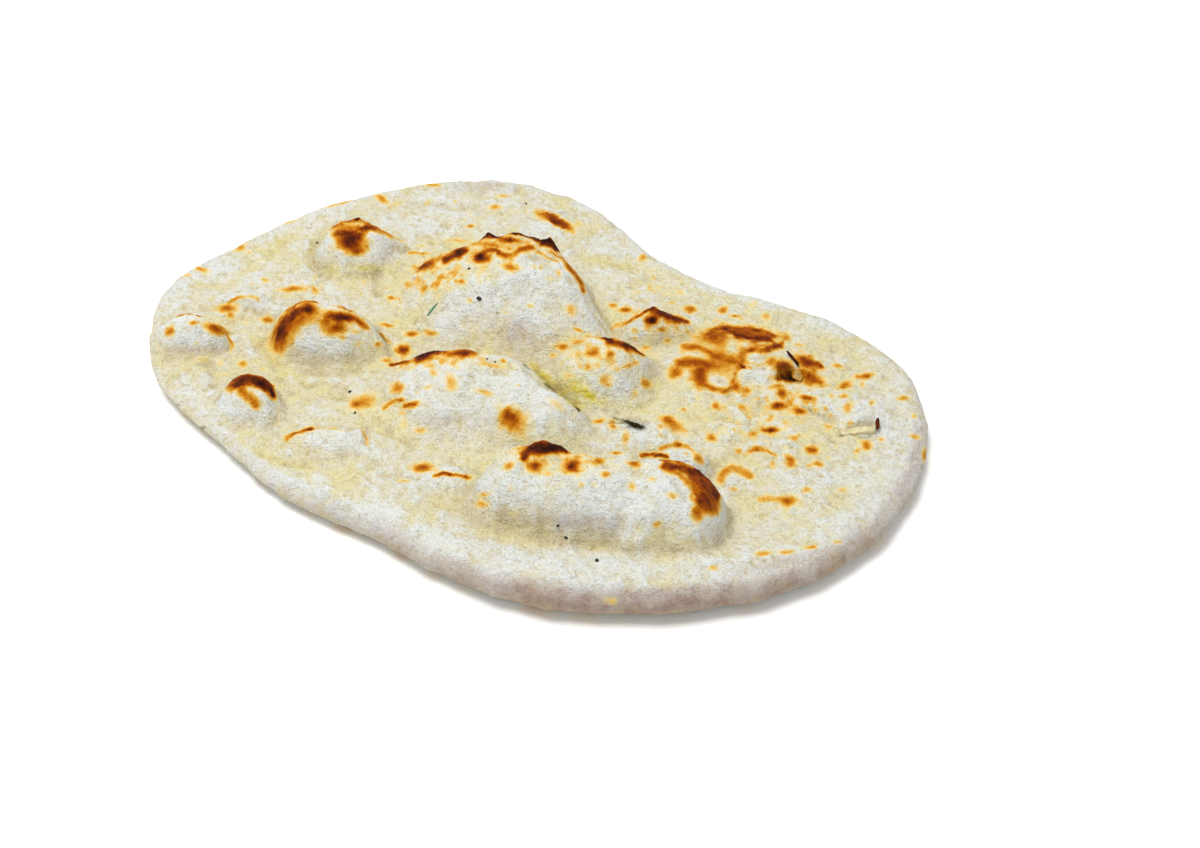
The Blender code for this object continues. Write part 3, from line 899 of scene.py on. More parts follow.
LONG_BLISTER_MARKS = (
    Spot(560, 462, 100, 16, 0.26, 3, 1.0),
    Stroke(((524, 455), (533, 448), (543, 445), (555, 446), (566, 449)), 11, 0.94, 3.5),
    Spot(545, 448, 44, 13, 1.15, -3),
    Spot(535, 466, 17, 13, 0.7),
    Spot(535, 466, 9, 7, 0.85),
    Spot(572, 466, 19, 15, 0.75),
    Spot(572, 466, 10, 9, 0.92),
    Spot(508, 466, 11, 8, 0.5, -30),
    Spot(598, 461, 13, 8, 0.52),
    Spot(577, 457, 9, 6, 0.42),
    Spot(606, 474, 10, 6, 0.52),
    Spot(634, 464, 14, 7, 0.64, 10),
    Spot(616, 453, 11, 4, 0.52),
    Spot(548, 474, 14, 5, 0.3),
    Stroke(((568, 450), (590, 455), (612, 458)), 4, 0.38),
    Stroke(((640, 455), (654, 455), (667, 456)), 4.5, 0.85),
    Stroke(((660, 459), (672, 461), (684, 463)), 3.5, 0.7),
    Stroke(((665, 466), (678, 467), (692, 471), (703, 478)), 10, 0.84, 3.5),
    Stroke(((698, 472), (708, 482), (716, 494)), 12, 0.84, 3.5),
    Stroke(((699, 480), (706, 488), (707, 502)), 27, 0.76, 4.5),
    Spot(698, 512, 14, 20, 0.62, 0, 0, 3),
    Spot(714, 507, 13, 18, 0.58, 0, 0, 3),
    Stroke(((666, 471), (680, 474), (688, 481)), 6, 0.5),
    Spot(482, 504, 12, 8, 0.48),
    Spot(485, 494, 14, 4, 0.44, -15),
    Spot(514, 512, 10, 6, 0.25),
    Spot(657, 525, 9, 8, 0.42),
    Spot(672, 496, 10, 8, 0.36),
    Spot(632, 486, 9, 8, 0.36),
    Spot(653, 479, 10, 5, 0.3),
    Stroke(((660, 449), (668, 446), (678, 443), (688, 447), (697, 455), (702, 463)), 5, 0.52),
    Spot(678, 445, 13, 6, 0.66),
    Spot(698, 458, 10, 9, 0.5),
)
PLATEAU_MARKS = (
    Spot(785, 398, 70, 26, 0.34, 12, 1.0),
    Spot(760, 425, 120, 50, 0.2, 12, 1.0),
    Stroke(((720, 480), (724, 472), (731, 468), (740, 470), (750, 476)), 9, 0.5),
    Spot(788, 501, 20, 11, 0.64),
    Stroke(((759, 500), (770, 498), (782, 500)), 7, 0.44),
    Stroke(((748, 452), (757, 450), (765, 450), (776, 455)), 4, 0.52),
    Spot(757, 449, 9, 6, 0.62),
    Spot(738, 451, 9, 6, 0.44),
    Spot(770, 430, 20, 6, 0.8, -3),
    Spot(753, 434, 10, 6, 0.52, -15),
    Spot(790, 461, 11, 14, 0.58, -30),
    Spot(812, 450, 14, 9, 0.64, 10),
    Spot(818, 464, 12, 6, 0.5),
    Spot(712, 438, 11, 8, 0.64),
    Spot(674, 425, 26, 13, 0.5, 30),
    Spot(668, 420, 15, 8, 0.6, 15),
    Spot(683, 410, 9, 4, 0.38),
    Spot(716, 406, 9, 9, 0.5),
    Spot(742, 407, 9, 8, 0.4),
    Spot(733, 489, 10, 5, 0.36),
    Spot(807, 490, 11, 6, 0.4),
    Spot(842, 490, 11, 6, 0.3),
    Spot(769, 420, 10, 6, 0.38, -20),
    Spot(785, 422, 7, 5, 0.3),
    Spot(782, 394, 12, 12, 0.68),
    Spot(773, 387, 12, 6, 0.45),
    Spot(807, 398, 17, 6, 0.72, 12),
    Spot(778, 406, 18, 9, 0.75),
    Spot(800, 411, 15, 8, 0.64, 10),
    Spot(864, 376, 19, 6, 0.62, -8),
    Spot(838, 366, 12, 5, 0.42, 10),
    Spot(845, 385, 15, 8, 0.62, -15),
    Spot(844, 396, 10, 5, 0.46),
    Spot(848, 408, 9, 12, 0.42, 30),
    Spot(830, 415, 11, 5, 0.36, 20),
    Spot(828, 426, 12, 5, 0.36, 10),
    Spot(866, 445, 12, 12, 0.52),
    Spot(857, 451, 6, 5, 0.46),
    Spot(881, 439, 8, 4, 0.42),
    Spot(903, 398, 13, 5, 0.42),
    Spot(925, 455, 6, 14, 0.52),
    Spot(916, 437, 14, 5, 0.4, 15),
    Spot(914, 416, 6, 5, 0.36),
    Spot(764, 553, 16, 5, 0.42, -8),
    Spot(786, 552, 16, 5, 0.42, -4),
    Spot(811, 547, 15, 4, 0.42),
    Spot(838, 542, 10, 4, 0.38),
    Spot(713, 568, 11, 5, 0.36),
    Spot(612, 601, 12, 7, 0.34),
)
BURST_MARKS = (
    Spot(717, 345, 46, 24, 0.36, 15),
    Spot(721, 368, 42, 24, 0.48, 20),
    Spot(714, 339, 34, 20, 0.64, -5),
    Spot(742, 334, 62, 15, 0.66, 4),
    Spot(762, 339, 36, 16, 0.76, 8),
    Stroke(((706, 335), (716, 329), (727, 327), (743, 329), (762, 331), (776, 337)), 6, 0.72),
    Stroke(((724, 328), (734, 334), (748, 338), (764, 339), (774, 344)), 6, 0.86),
    Stroke(((751, 350), (761, 351), (771, 348), (780, 345)), 8, 0.84),
    Stroke(((684, 348), (698, 347), (710, 353), (720, 358), (732, 362), (741, 364)), 9, 0.66),
    Stroke(((712, 354), (722, 358), (734, 361)), 14, 0.6),
    Stroke(((746, 349), (742, 357), (739, 366)), 14, 0.72),
    Stroke(((739, 366), (734, 380)), 6, 0.6),
    Stroke(((680, 364), (689, 361), (699, 362), (709, 366)), 13, 0.68),
    Spot(700, 375, 19, 26, 0.76),
    Spot(675, 373, 15, 13, 0.6),
    Spot(716, 366, 16, 8, 0.56, 20),
    Stroke(((703, 384), (714, 389), (725, 391), (735, 387)), 7, 0.64),
    Spot(736, 386, 13, 12, 0.66),
    Spot(746, 390, 12, 8, 0.54),
    Spot(771, 361, 14, 11, 0.62),
    Spot(709, 346, 17, 8, -0.5, 15),
    Spot(724, 371, 12, 6, -0.35, 20),
    Spot(732, 346, 9, 13, -0.85, -10),
    Spot(731, 336, 8, 3, -0.7, 20),
    Spot(746, 345, 10, 7, -0.85),
    Stroke(((759, 343), (765, 343), (771, 344)), 3, -0.7),
    Spot(777, 340, 7, 5, -0.65),
    Spot(696, 354, 24, 6, -0.6, 14),
    Spot(718, 380, 16, 9, -0.95, 20),
    Spot(757, 357, 24, 9, -0.95, 5),
    Spot(757, 375, 40, 17, -1.0, 10),
    Stroke(((743, 361), (757, 365), (770, 363)), 3.5, 0.4),
    Stroke(((741, 367), (746, 367), (752, 368)), 2.6, 0.95),
    Stroke(((741, 367), (736, 373), (732, 381)), 3, 0.8),
    Spot(783, 366, 19, 13, 0.8),
    Spot(788, 377, 24, 10, 1.2),
    Spot(807, 362, 27, 13, 0.84, 24),
    Stroke(((812, 363), (821, 367)), 5, 0.7),
    Spot(811, 379, 28, 14, 0.66, 18),
    Stroke(((803, 371), (812, 377), (821, 383)), 6, 0.7),
    Spot(786, 337, 11, 10, 0.46),
    Spot(799, 345, 14, 4, 0.32),
    Spot(778, 386, 13, 6, 0.5),
)
# Painted shadow in the burst hole, the slit, the deep crease and small notches
HOLLOW_SHADOW_MARKS = (
    Spot(786, 371, 18, 10, 0.75),
    Spot(788, 377, 18, 7, 1.0, 10),
    Stroke(((614, 418), (621, 420), (628, 422)), 2.4, 0.9),
    Spot(634, 425, 19, 6, 2.2, 20, 0, 3.0),
    Stroke(((572, 401), (576, 405), (580, 410)), 2.6, 1.2),
    Stroke(((545, 384), (553, 389), (561, 394), (569, 399)), 2.6, 0.75),
    Stroke(((549, 383), (556, 386), (563, 391)), 4, 0.3),
    Stroke(((524, 364), (530, 369)), 2, 0.8),
    Spot(537, 370, 5, 6, 0.4),
    Spot(543, 377, 5, 5, 0.4),
    Stroke(((802, 406), (806, 408), (812, 412), (822, 416)), 1.8, 0.55),
    Stroke(((376, 330), (383, 338), (390, 346)), 2.2, 0.5),
    Stroke(((856, 436), (864, 438), (872, 436)), 2.4, 0.5),
    Spot(843, 556, 5, 12, 0.3, 10),
    Spot(562, 213, 13, 3, 0.24),
    Spot(178, 405, 5, 3, 0.6),
    Spot(203, 428, 5, 3, 0.6),
)
TOASTED_FRECKLES = (
    Freckles(438, 274, 70, 44, 30, (0.18, 0.46)),
    Freckles(590, 358, 84, 44, 20, (0.2, 0.46)),
    Freckles(690, 425, 130, 60, 22, (0.16, 0.44)),
    Freckles(790, 440, 110, 80, 26, (0.16, 0.46)),
    Freckles(775, 395, 110, 36, 16, (0.2, 0.55)),
    Freckles(865, 400, 60, 60, 10, (0.16, 0.4)),
    Freckles(470, 375, 130, 30, 12, (0.15, 0.34)),
    Freckles(300, 280, 110, 40, 10, (0.15, 0.32)),
    Freckles(398, 300, 60, 50, 12, (0.18, 0.42)),
    Freckles(230, 350, 90, 60, 8, (0.12, 0.28)),
    Freckles(480, 212, 150, 30, 10, (0.15, 0.36)),
    Freckles(650, 290, 70, 36, 14, (0.15, 0.38)),
    Freckles(735, 312, 80, 20, 10, (0.18, 0.4)),
    Freckles(560, 480, 150, 36, 12, (0.12, 0.28)),
    Freckles(790, 520, 90, 40, 8, (0.1, 0.26)),
    Freckles(520, 262, 70, 20, 10, (0.18, 0.45)),
)
BUTTER_MARKS = (
    Stroke(((308, 212), (286, 234), (262, 254), (238, 274)), 13, 0.34),
    Stroke(((300, 232), (280, 250), (258, 270)), 4, 0.4),
    Stroke(((325, 273), (350, 278), (375, 276), (394, 268)), 7, 0.55),
    Spot(398, 278, 34, 44, 0.4, 20),
    Stroke(((262, 336), (276, 356), (300, 380), (330, 398)), 7, 0.45),
    Stroke(((250, 344), (262, 366), (284, 388)), 4, 0.4),
    Stroke(((188, 372), (204, 396), (228, 424)), 7, 0.35),
    Stroke(((238, 438), (262, 458), (286, 472), (312, 482)), 5, 0.5),
    Stroke(((154, 352), (166, 390), (190, 424), (226, 458)), 15, 0.34),
    Stroke(((330, 400), (346, 414), (350, 430)), 4, 0.4),
    Stroke(((362, 350), (372, 366), (366, 384)), 5, 0.35),
    Stroke(((330, 244), (334, 258), (330, 270)), 5, 0.4),
    Stroke(((556, 176), (600, 206), (640, 236), (700, 258)), 12, 0.26),
    Stroke(((806, 330), (836, 344), (864, 362), (890, 392)), 11, 0.34),
    Stroke(((700, 404), (724, 414), (742, 430), (748, 450)), 4, 0.34),
    Stroke(((640, 440), (664, 436), (690, 444), (706, 456)), 4, 0.34),
    Spot(572, 385, 34, 18, 0.6, 35),
    Stroke(((534, 366), (546, 378), (557, 388), (568, 397), (580, 406)), 11, 1.3),
    Spot(581, 391, 30, 13, 1.2, 15),
    Spot(592, 397, 28, 9, 1.0, 25),
    Spot(577, 384, 36, 20, 0.75, 40),
    Spot(604, 402, 60, 14, 0.6),
    Spot(640, 410, 70, 20, 0.5),
    Spot(370, 268, 52, 12, 0.7),
    Spot(334, 268, 18, 30, 0.6, -30),
    Stroke(((240, 276), (262, 259), (290, 236), (302, 228)), 12, 0.5),
    Spot(312, 246, 12, 38, 0.5),
    Stroke(((254, 338), (270, 355), (284, 374)), 12, 0.75),
    Stroke(((260, 454), (285, 465), (308, 470)), 12, 0.6),
    Stroke(((560, 250), (590, 261), (640, 266), (690, 281)), 14, 0.55),
    Spot(480, 246, 120, 26, 0.5),
    Spot(430, 268, 60, 40, 0.45),
    Stroke(((158, 300), (152, 345), (166, 385), (200, 425), (250, 470), (320, 512)), 14, 0.22),
    Stroke(((320, 512), (380, 542), (430, 566)), 12, 0.25),
    Spot(500, 366, 80, 10, 0.4),
    Spot(600, 360, 90, 50, 0.45),
    Spot(530, 438, 90, 10, 0.5),
    Spot(570, 466, 150, 22, 0.4),
    Spot(495, 456, 50, 14, 0.5),
    Spot(370, 345, 40, 40, 0.5),
    Spot(400, 330, 60, 30, 0.5),
    Spot(700, 420, 120, 60, 0.24),
    Spot(790, 440, 110, 80, 0.2),
    Spot(300, 265, 100, 50, 0.24),
    Spot(330, 400, 110, 60, 0.2),
    Spot(620, 285, 70, 40, 0.35),
    Spot(700, 295, 140, 14, 0.45, 14),
    Spot(835, 345, 110, 26, 0.35, 28),
    Spot(720, 345, 90, 40, 0.4),
    Spot(640, 545, 140, 14, 0.3, 4),
    Spot(370, 485, 150, 40, 0.16, 12),
)
# Flour and painted light: whitened patches, several on blister feet and sides to lift the shade there
FLOUR_AND_LIGHT_MARKS = (
    Spot(718, 512, 34, 54, 0.9, 20),
    Spot(515, 298, 110, 66, 0.9),
    Spot(480, 400, 150, 60, 0.85, 10),
    Spot(610, 500, 200, 60, 0.95, 3),
    Spot(625, 378, 50, 44, 0.5),
    Spot(372, 252, 60, 40, 1.0),
    Spot(322, 342, 90, 34, 1.0, 5),
    Spot(195, 342, 66, 24, 0.9),
    Spot(250, 412, 50, 36, 0.9),
    Spot(335, 442, 60, 26, 0.9),
    Spot(430, 420, 70, 30, 0.6),
    Spot(620, 566, 240, 40, 0.7, -2),
    Spot(760, 520, 120, 40, 0.6, -10),
    Spot(880, 480, 60, 100, 0.6, 25),
    Spot(690, 395, 60, 40, 0.6),
    Spot(700, 440, 50, 30, 0.6),
    Spot(672, 480, 60, 20, 0.5),
    Spot(440, 205, 160, 26, 0.4),
    Spot(585, 290, 40, 60, 0.5),
    Spot(895, 400, 40, 90, 0.5),
)
# Painted shade along the near and right rim's side and at the feet of blisters
PAINTED_SHADE_MARKS = (
    Stroke(((505, 602), (600, 603), (690, 596), (770, 581), (830, 563)), 14, 0.45),
    Stroke(((830, 563), (858, 545), (888, 510), (915, 466), (922, 430)), 18, 0.5),
    Spot(518, 332, 30, 28, 0.5),
    Spot(790, 562, 110, 14, 0.45, -10),
    Spot(480, 186, 70, 12, 0.35),
    Spot(440, 420, 60, 14, 0.28),
    Spot(560, 520, 120, 16, 0.45, 3),
    Spot(300, 352, 80, 7, 0.2, 8),
    Spot(195, 350, 60, 6, 0.45),
    Stroke(((400, 478), (440, 500), (500, 560)), 24, 0.12),
)
# Painted shade in creases and along blister feet, the long blister's foot most of all
CREASE_SHADE_MARKS = (
    Stroke(((484, 524), (520, 535), (560, 541), (620, 547), (680, 551), (712, 547)), 9, 0.8),
    Stroke(((700, 540), (720, 530), (735, 510)), 7, 0.2),
    Stroke(((284, 350), (310, 357), (340, 363), (365, 363)), 4, 0.35),
    Stroke(((318, 266), (345, 273), (370, 272), (392, 264)), 4, 0.35),
    Stroke(((505, 330), (520, 337), (540, 342)), 9, 0.7),
    Stroke(((270, 432), (285, 440), (300, 446)), 5, 0.4),
    Stroke(((231, 343), (229, 355), (224, 362)), 4, 0.6),
    Stroke(((277, 398), (279, 412), (277, 426)), 4, 0.5),
    Stroke(((364, 428), (367, 438), (366, 446)), 4, 0.7),
)


@dataclass
class SkinPainter:
    """Lays the marks of the photograph on the skin's points."""

    camera: PhotoCamera
    points: np.ndarray
    paintable: np.ndarray
    depth_reach_mm: float = 7.0
    depth_fade_mm: float = 4.0
    depth_share: float = 0.35
    search_px: tuple[float, ...] = (2.5, 6.0, 14.0)
    edge_wander_px: float = 1.7
    edge_softness: float = 0.9
    thin_stroke_px: float = 6.0
    thin_streaks: float = 0.5
    broad_streaks: float = 0.22
    streak_level: float = 0.96
    patch_level: float = 0.45
    patch_contrast: float = 1.9
    freckle_seed: int = 11
    freckle_scatter: float = 0.3
    freckle_least_px: float = 3.0
    freckle_growth_px: float = 6.0
    freckle_tilt_deg: float = 35.0
    overlap_gain: float = 0.25
    neighbours_share: float = 0.6

    def __post_init__(self) -> None:
        """Finds where every point shows in the photograph."""
        self.column, self.row, self.depth = self.camera.picture(self.points)
        x, y = self.points[:, 0], self.points[:, 1]
        self.drift = (
            self.edge_wander_px * waves(x, y, size=3.4, seed=51.0, octaves=3),
            self.edge_wander_px * 0.7 * waves(x, y, size=3.4, seed=57.0, octaves=3),
        )
        self.ragged = 1 + 0.3 * waves(x, y, size=2.4, seed=61.0, octaves=3)
        self.patches = waves(x, y, size=4.2, seed=67.0, octaves=3)

    def front_depth(self, pixel: Pixel) -> float:
        """Depth of the skin that shows at a pixel.

        Args:
            pixel: Column and row.

        Returns:
            The distance into the picture, in millimetres.
        """
        for reach in self.search_px:
            near = self.paintable & (np.abs(self.column - pixel[0]) < reach)
            near &= np.abs(self.row - pixel[1]) < reach
            if near.any():
                return float(self.depth[near].min())
        return float(self.depth.min())

    def cover(self, mark: Spot | Stroke) -> np.ndarray:
        """How fully a mark covers each point, from 0 to 1.

        Args:
            mark: A spot or a stroke.

        Returns:
            One value for each point, with soft, uneven edges.
        """
        column, row = self.column + self.drift[0], self.row + self.drift[1]
        if isinstance(mark, Stroke):
            gap, along = path_distance(column, row, mark.path)
            reach = gap / (mark.width / 2)
            corners = [self.front_depth(corner) for corner in mark.path]
            front = np.interp(along, np.linspace(0, 1, len(corners)), corners)
            size = mark.width
        else:
            tilt = math.radians(mark.tilt)
            dx, dy = column - mark.column, row - mark.row
            along = (dx * math.cos(tilt) + dy * math.sin(tilt)) / (mark.width / 2)
            across = (dy * math.cos(tilt) - dx * math.sin(tilt)) / (mark.height / 2)
            reach = np.hypot(along, across)
            front = self.front_depth((mark.column, mark.row))
            size = max(mark.width, mark.height)
        soft = np.exp(-self.edge_softness * (reach * self.ragged) ** mark.edge)
        if isinstance(mark, Stroke):
            streaks = self.thin_streaks if mark.width < self.thin_stroke_px else self.broad_streaks
            soft *= np.clip(self.streak_level - 0.2 * streaks + streaks * self.patches, 0.3, 1.0)
        else:
            patches = np.clip(self.patch_level + self.patch_contrast * self.patches, 0, 1.3)
            soft *= 1 - mark.patchy + mark.patchy * patches
        far = np.abs(self.depth - front) - self.depth_reach_mm - self.depth_share * size
        return soft * np.clip(1 - far / self.depth_fade_mm, 0, 1) * self.paintable

    def freckle_spots(self, patches: Iterable[Freckles]) -> list[Spot]:
        """Draws the small toasted spots of some patches.

        Args:
            patches: Where they lie, how many there are and how dark they are.

        Returns:
            The spots, always the same ones.
        """
        draw = np.random.default_rng(self.freckle_seed)
        spots = []
        for patch in patches:
            for _ in range(patch.count):
                scatter = self.freckle_scatter
                dx, dy = np.clip(draw.normal(0, scatter, 2), -2 * scatter, 2 * scatter)
                width = self.freckle_least_px + self.freckle_growth_px * draw.random() ** 2
                spots.append(
                    Spot(
                        patch.column + dx * patch.width,
                        patch.row + dy * patch.height,
                        width,
                        width * draw.uniform(0.45, 0.95),
                        draw.uniform(*patch.strength),
                        draw.uniform(-self.freckle_tilt_deg, self.freckle_tilt_deg),
                    )
                )
        return spots

    def standing(self, ends: np.ndarray, steps: int) -> np.ndarray:
        """How far each point stands above the skin round it, in millimetres.

        Args:
            ends: The two points of each edge.
            steps: How often the neighbours are averaged, so how far round counts.

        Returns:
            One height for each point, below zero in a hollow.
        """
        height = self.points[:, 2].copy()
        total = len(height)
        degree = np.maximum(np.bincount(ends.ravel(), minlength=total), 1)
        for _ in range(steps):
            around = np.bincount(ends[:, 0], height[ends[:, 1]], total)
            around += np.bincount(ends[:, 1], height[ends[:, 0]], total)
            height = (1 - self.neighbours_share) * height + self.neighbours_share * around / degree
        return self.points[:, 2] - height

    def layer(self, marks: Iterable[Spot | Stroke]) -> np.ndarray:
        """Lays all marks of one tone: the strongest wins, and one below zero lifts what lies there.

        Args:
            marks: The marks, in the order in which they are laid.

        Returns:
            One value for each point, from 0 to 1.
        """
        total = np.zeros(len(self.points))
        for mark in marks:
            cover = self.cover(mark)
            if mark.strength < 0:
                total *= 1 + cover * mark.strength
            else:
                total = self.over(total, np.minimum(cover * mark.strength, 1))
        return np.clip(total, 0, 1)

    def over(self, a: np.ndarray, b: np.ndarray) -> np.ndarray:
        """The stronger of two marks, and a little more where they overlap."""
        high = np.maximum(a, b)
        return high + self.overlap_gain * np.minimum(a, b) * (1 - high)


# Finishes


class Sum(Enum):
    """A sum of the Math node."""

    ADD = "ADD"
    TIMES = "MULTIPLY"


class Blend(Enum):
    """How the Mix node lays one colour on another."""

    COVER = "MIX"
    DARKEN = "MULTIPLY"


@dataclass
class NodeBench:
    """Builds one material's nodes."""

    material: bpy.types.Material
    nodes: bpy.types.Nodes = field(init=False)
    shader: bpy.types.Node = field(init=False)

    def __post_init__(self) -> None:
        """Opens the material's node tree."""
        self.material.use_nodes = True
        self.nodes = self.material.node_tree.nodes
        self.shader = self.nodes["Principled BSDF"]

    def link(self, source: Socket, target: Socket) -> None:
        """Joins two sockets."""
        self.material.node_tree.links.new(source, target)

    def place(self) -> Socket:
        """The object's own coordinates."""
        return self.nodes.new("ShaderNodeTexCoord").outputs["Object"]

    def attribute(self, name: str) -> Socket:
        """One of the piece's painted values.

        Args:
            name: The attribute that carries it.

        Returns:
            The value, 0 where the piece has none.
        """
        node = self.nodes.new("ShaderNodeAttribute")
        node.attribute_name = name
        return node.outputs["Fac"]

    def grain(
        self,
        size_mm: float,
        detail: float = 3.0,
        roughness: float = 0.55,
        squeeze: tuple[float, float, float] = (1.0, 1.0, 1.0),
        turn: float = 0.0,
    ) -> Socket:
        """A noise with features of the given size.

        Args:
            size_mm: Size of the features.
            detail: How many ever finer layers it has.
            roughness: How strong the finer layers are.
            squeeze: Below 1 along an axis, the features are drawn out that way.
            turn: How far the axes are turned about +Z, in radians.

        Returns:
            A value from 0 to 1.
        """
        node = self.nodes.new("ShaderNodeTexNoise")
        node.inputs["Scale"].default_value = 1000.0 / size_mm
        node.inputs["Detail"].default_value = detail
        node.inputs["Roughness"].default_value = roughness
        mapping = self.nodes.new("ShaderNodeMapping")
        mapping.vector_type = "TEXTURE"
        mapping.inputs["Rotation"].default_value = (0.0, 0.0, turn)
        mapping.inputs["Scale"].default_value = tuple(1 / share for share in squeeze)
        self.link(self.place(), mapping.inputs["Vector"])
        self.link(mapping.outputs["Vector"], node.inputs["Vector"])
        return node.outputs["Fac"]

    def stretch(self, value: Socket, low: float, high: float, to_low: float, to_high: float) -> Socket:
        """Maps a value's range to another, and stops at its ends.

        Args:
            value: The value.
            low: Start of its range.
            high: End of its range.
            to_low: What the start becomes.
            to_high: What the end becomes.

        Returns:
            The mapped value.
        """
        node = self.nodes.new("ShaderNodeMapRange")
        node.inputs["From Min"].default_value = low
        node.inputs["From Max"].default_value = high
        node.inputs["To Min"].default_value = to_low
        node.inputs["To Max"].default_value = to_high
        self.link(value, node.inputs["Value"])
        return node.outputs["Result"]

    def sum(self, operation: Sum, a: Socket, b: Socket | float) -> Socket:
        """Works a sum on two values.

        Args:
            operation: Which sum.
            a: First value.
            b: Second value, as a socket or as a number.

        Returns:
            The result.
        """
        node = self.nodes.new("ShaderNodeMath")
        node.operation = operation.value
        self.link(a, node.inputs[0])
        if isinstance(b, float):
            node.inputs[1].default_value = b
        else:
            self.link(b, node.inputs[1])
        return node.outputs["Value"]

    def mix(
        self, share: Socket, a: Socket | Colour, b: Socket | Colour, blend: Blend = Blend.COVER
    ) -> Socket:
        """Mixes two colours.

        Args:
            share: How much of the second colour.
            a: First colour, as a socket or as screen numbers.
            b: Second colour, as a socket or as screen numbers.
            blend: How the second colour goes on the first.

        Returns:
            The mixed colour.
        """
        node = self.nodes.new("ShaderNodeMix")
        node.data_type = "RGBA"
        node.blend_type = blend.value
        self.link(share, node.inputs["Factor"])
        for colour, socket in ((a, node.inputs[6]), (b, node.inputs[7])):
            if isinstance(colour, Socket):
                self.link(colour, socket)
            else:
                socket.default_value = linear(colour)
        return node.outputs[2]

    def ramp(self, value: Socket, stops: Sequence[tuple[float, Colour]]) -> Socket:
        """Colours a value.

        Args:
            value: A value from 0 to 1.
            stops: Places from 0 to 1 and the colour at each.

        Returns:
            The colour.
        """
        node = self.nodes.new("ShaderNodeValToRGB")
        band = node.color_ramp
        while len(band.elements) < len(stops):
            band.elements.new(0.5)
        for element, (position, colour) in zip(band.elements, stops):
            element.position = position
            element.color = linear(colour)
        self.link(value, node.inputs["Fac"])
        return node.outputs["Color"]

    def bump(self, height: Socket, depth_mm: float, strength: float, under: Socket | None = None) -> Socket:
        """Roughens the surface.

        Args:
            height: The relief, from 0 to 1.
            depth_mm: How deep the relief is.
            strength: How much of it shows.
            under: An earlier bump that this one lies on.

        Returns:
            The surface's normal.
        """
        node = self.nodes.new("ShaderNodeBump")
        node.inputs["Strength"].default_value = strength
        node.inputs["Distance"].default_value = depth_mm * MM
        self.link(height, node.inputs["Height"])
        if under:
            self.link(under, node.inputs["Normal"])
        return node.outputs["Normal"]


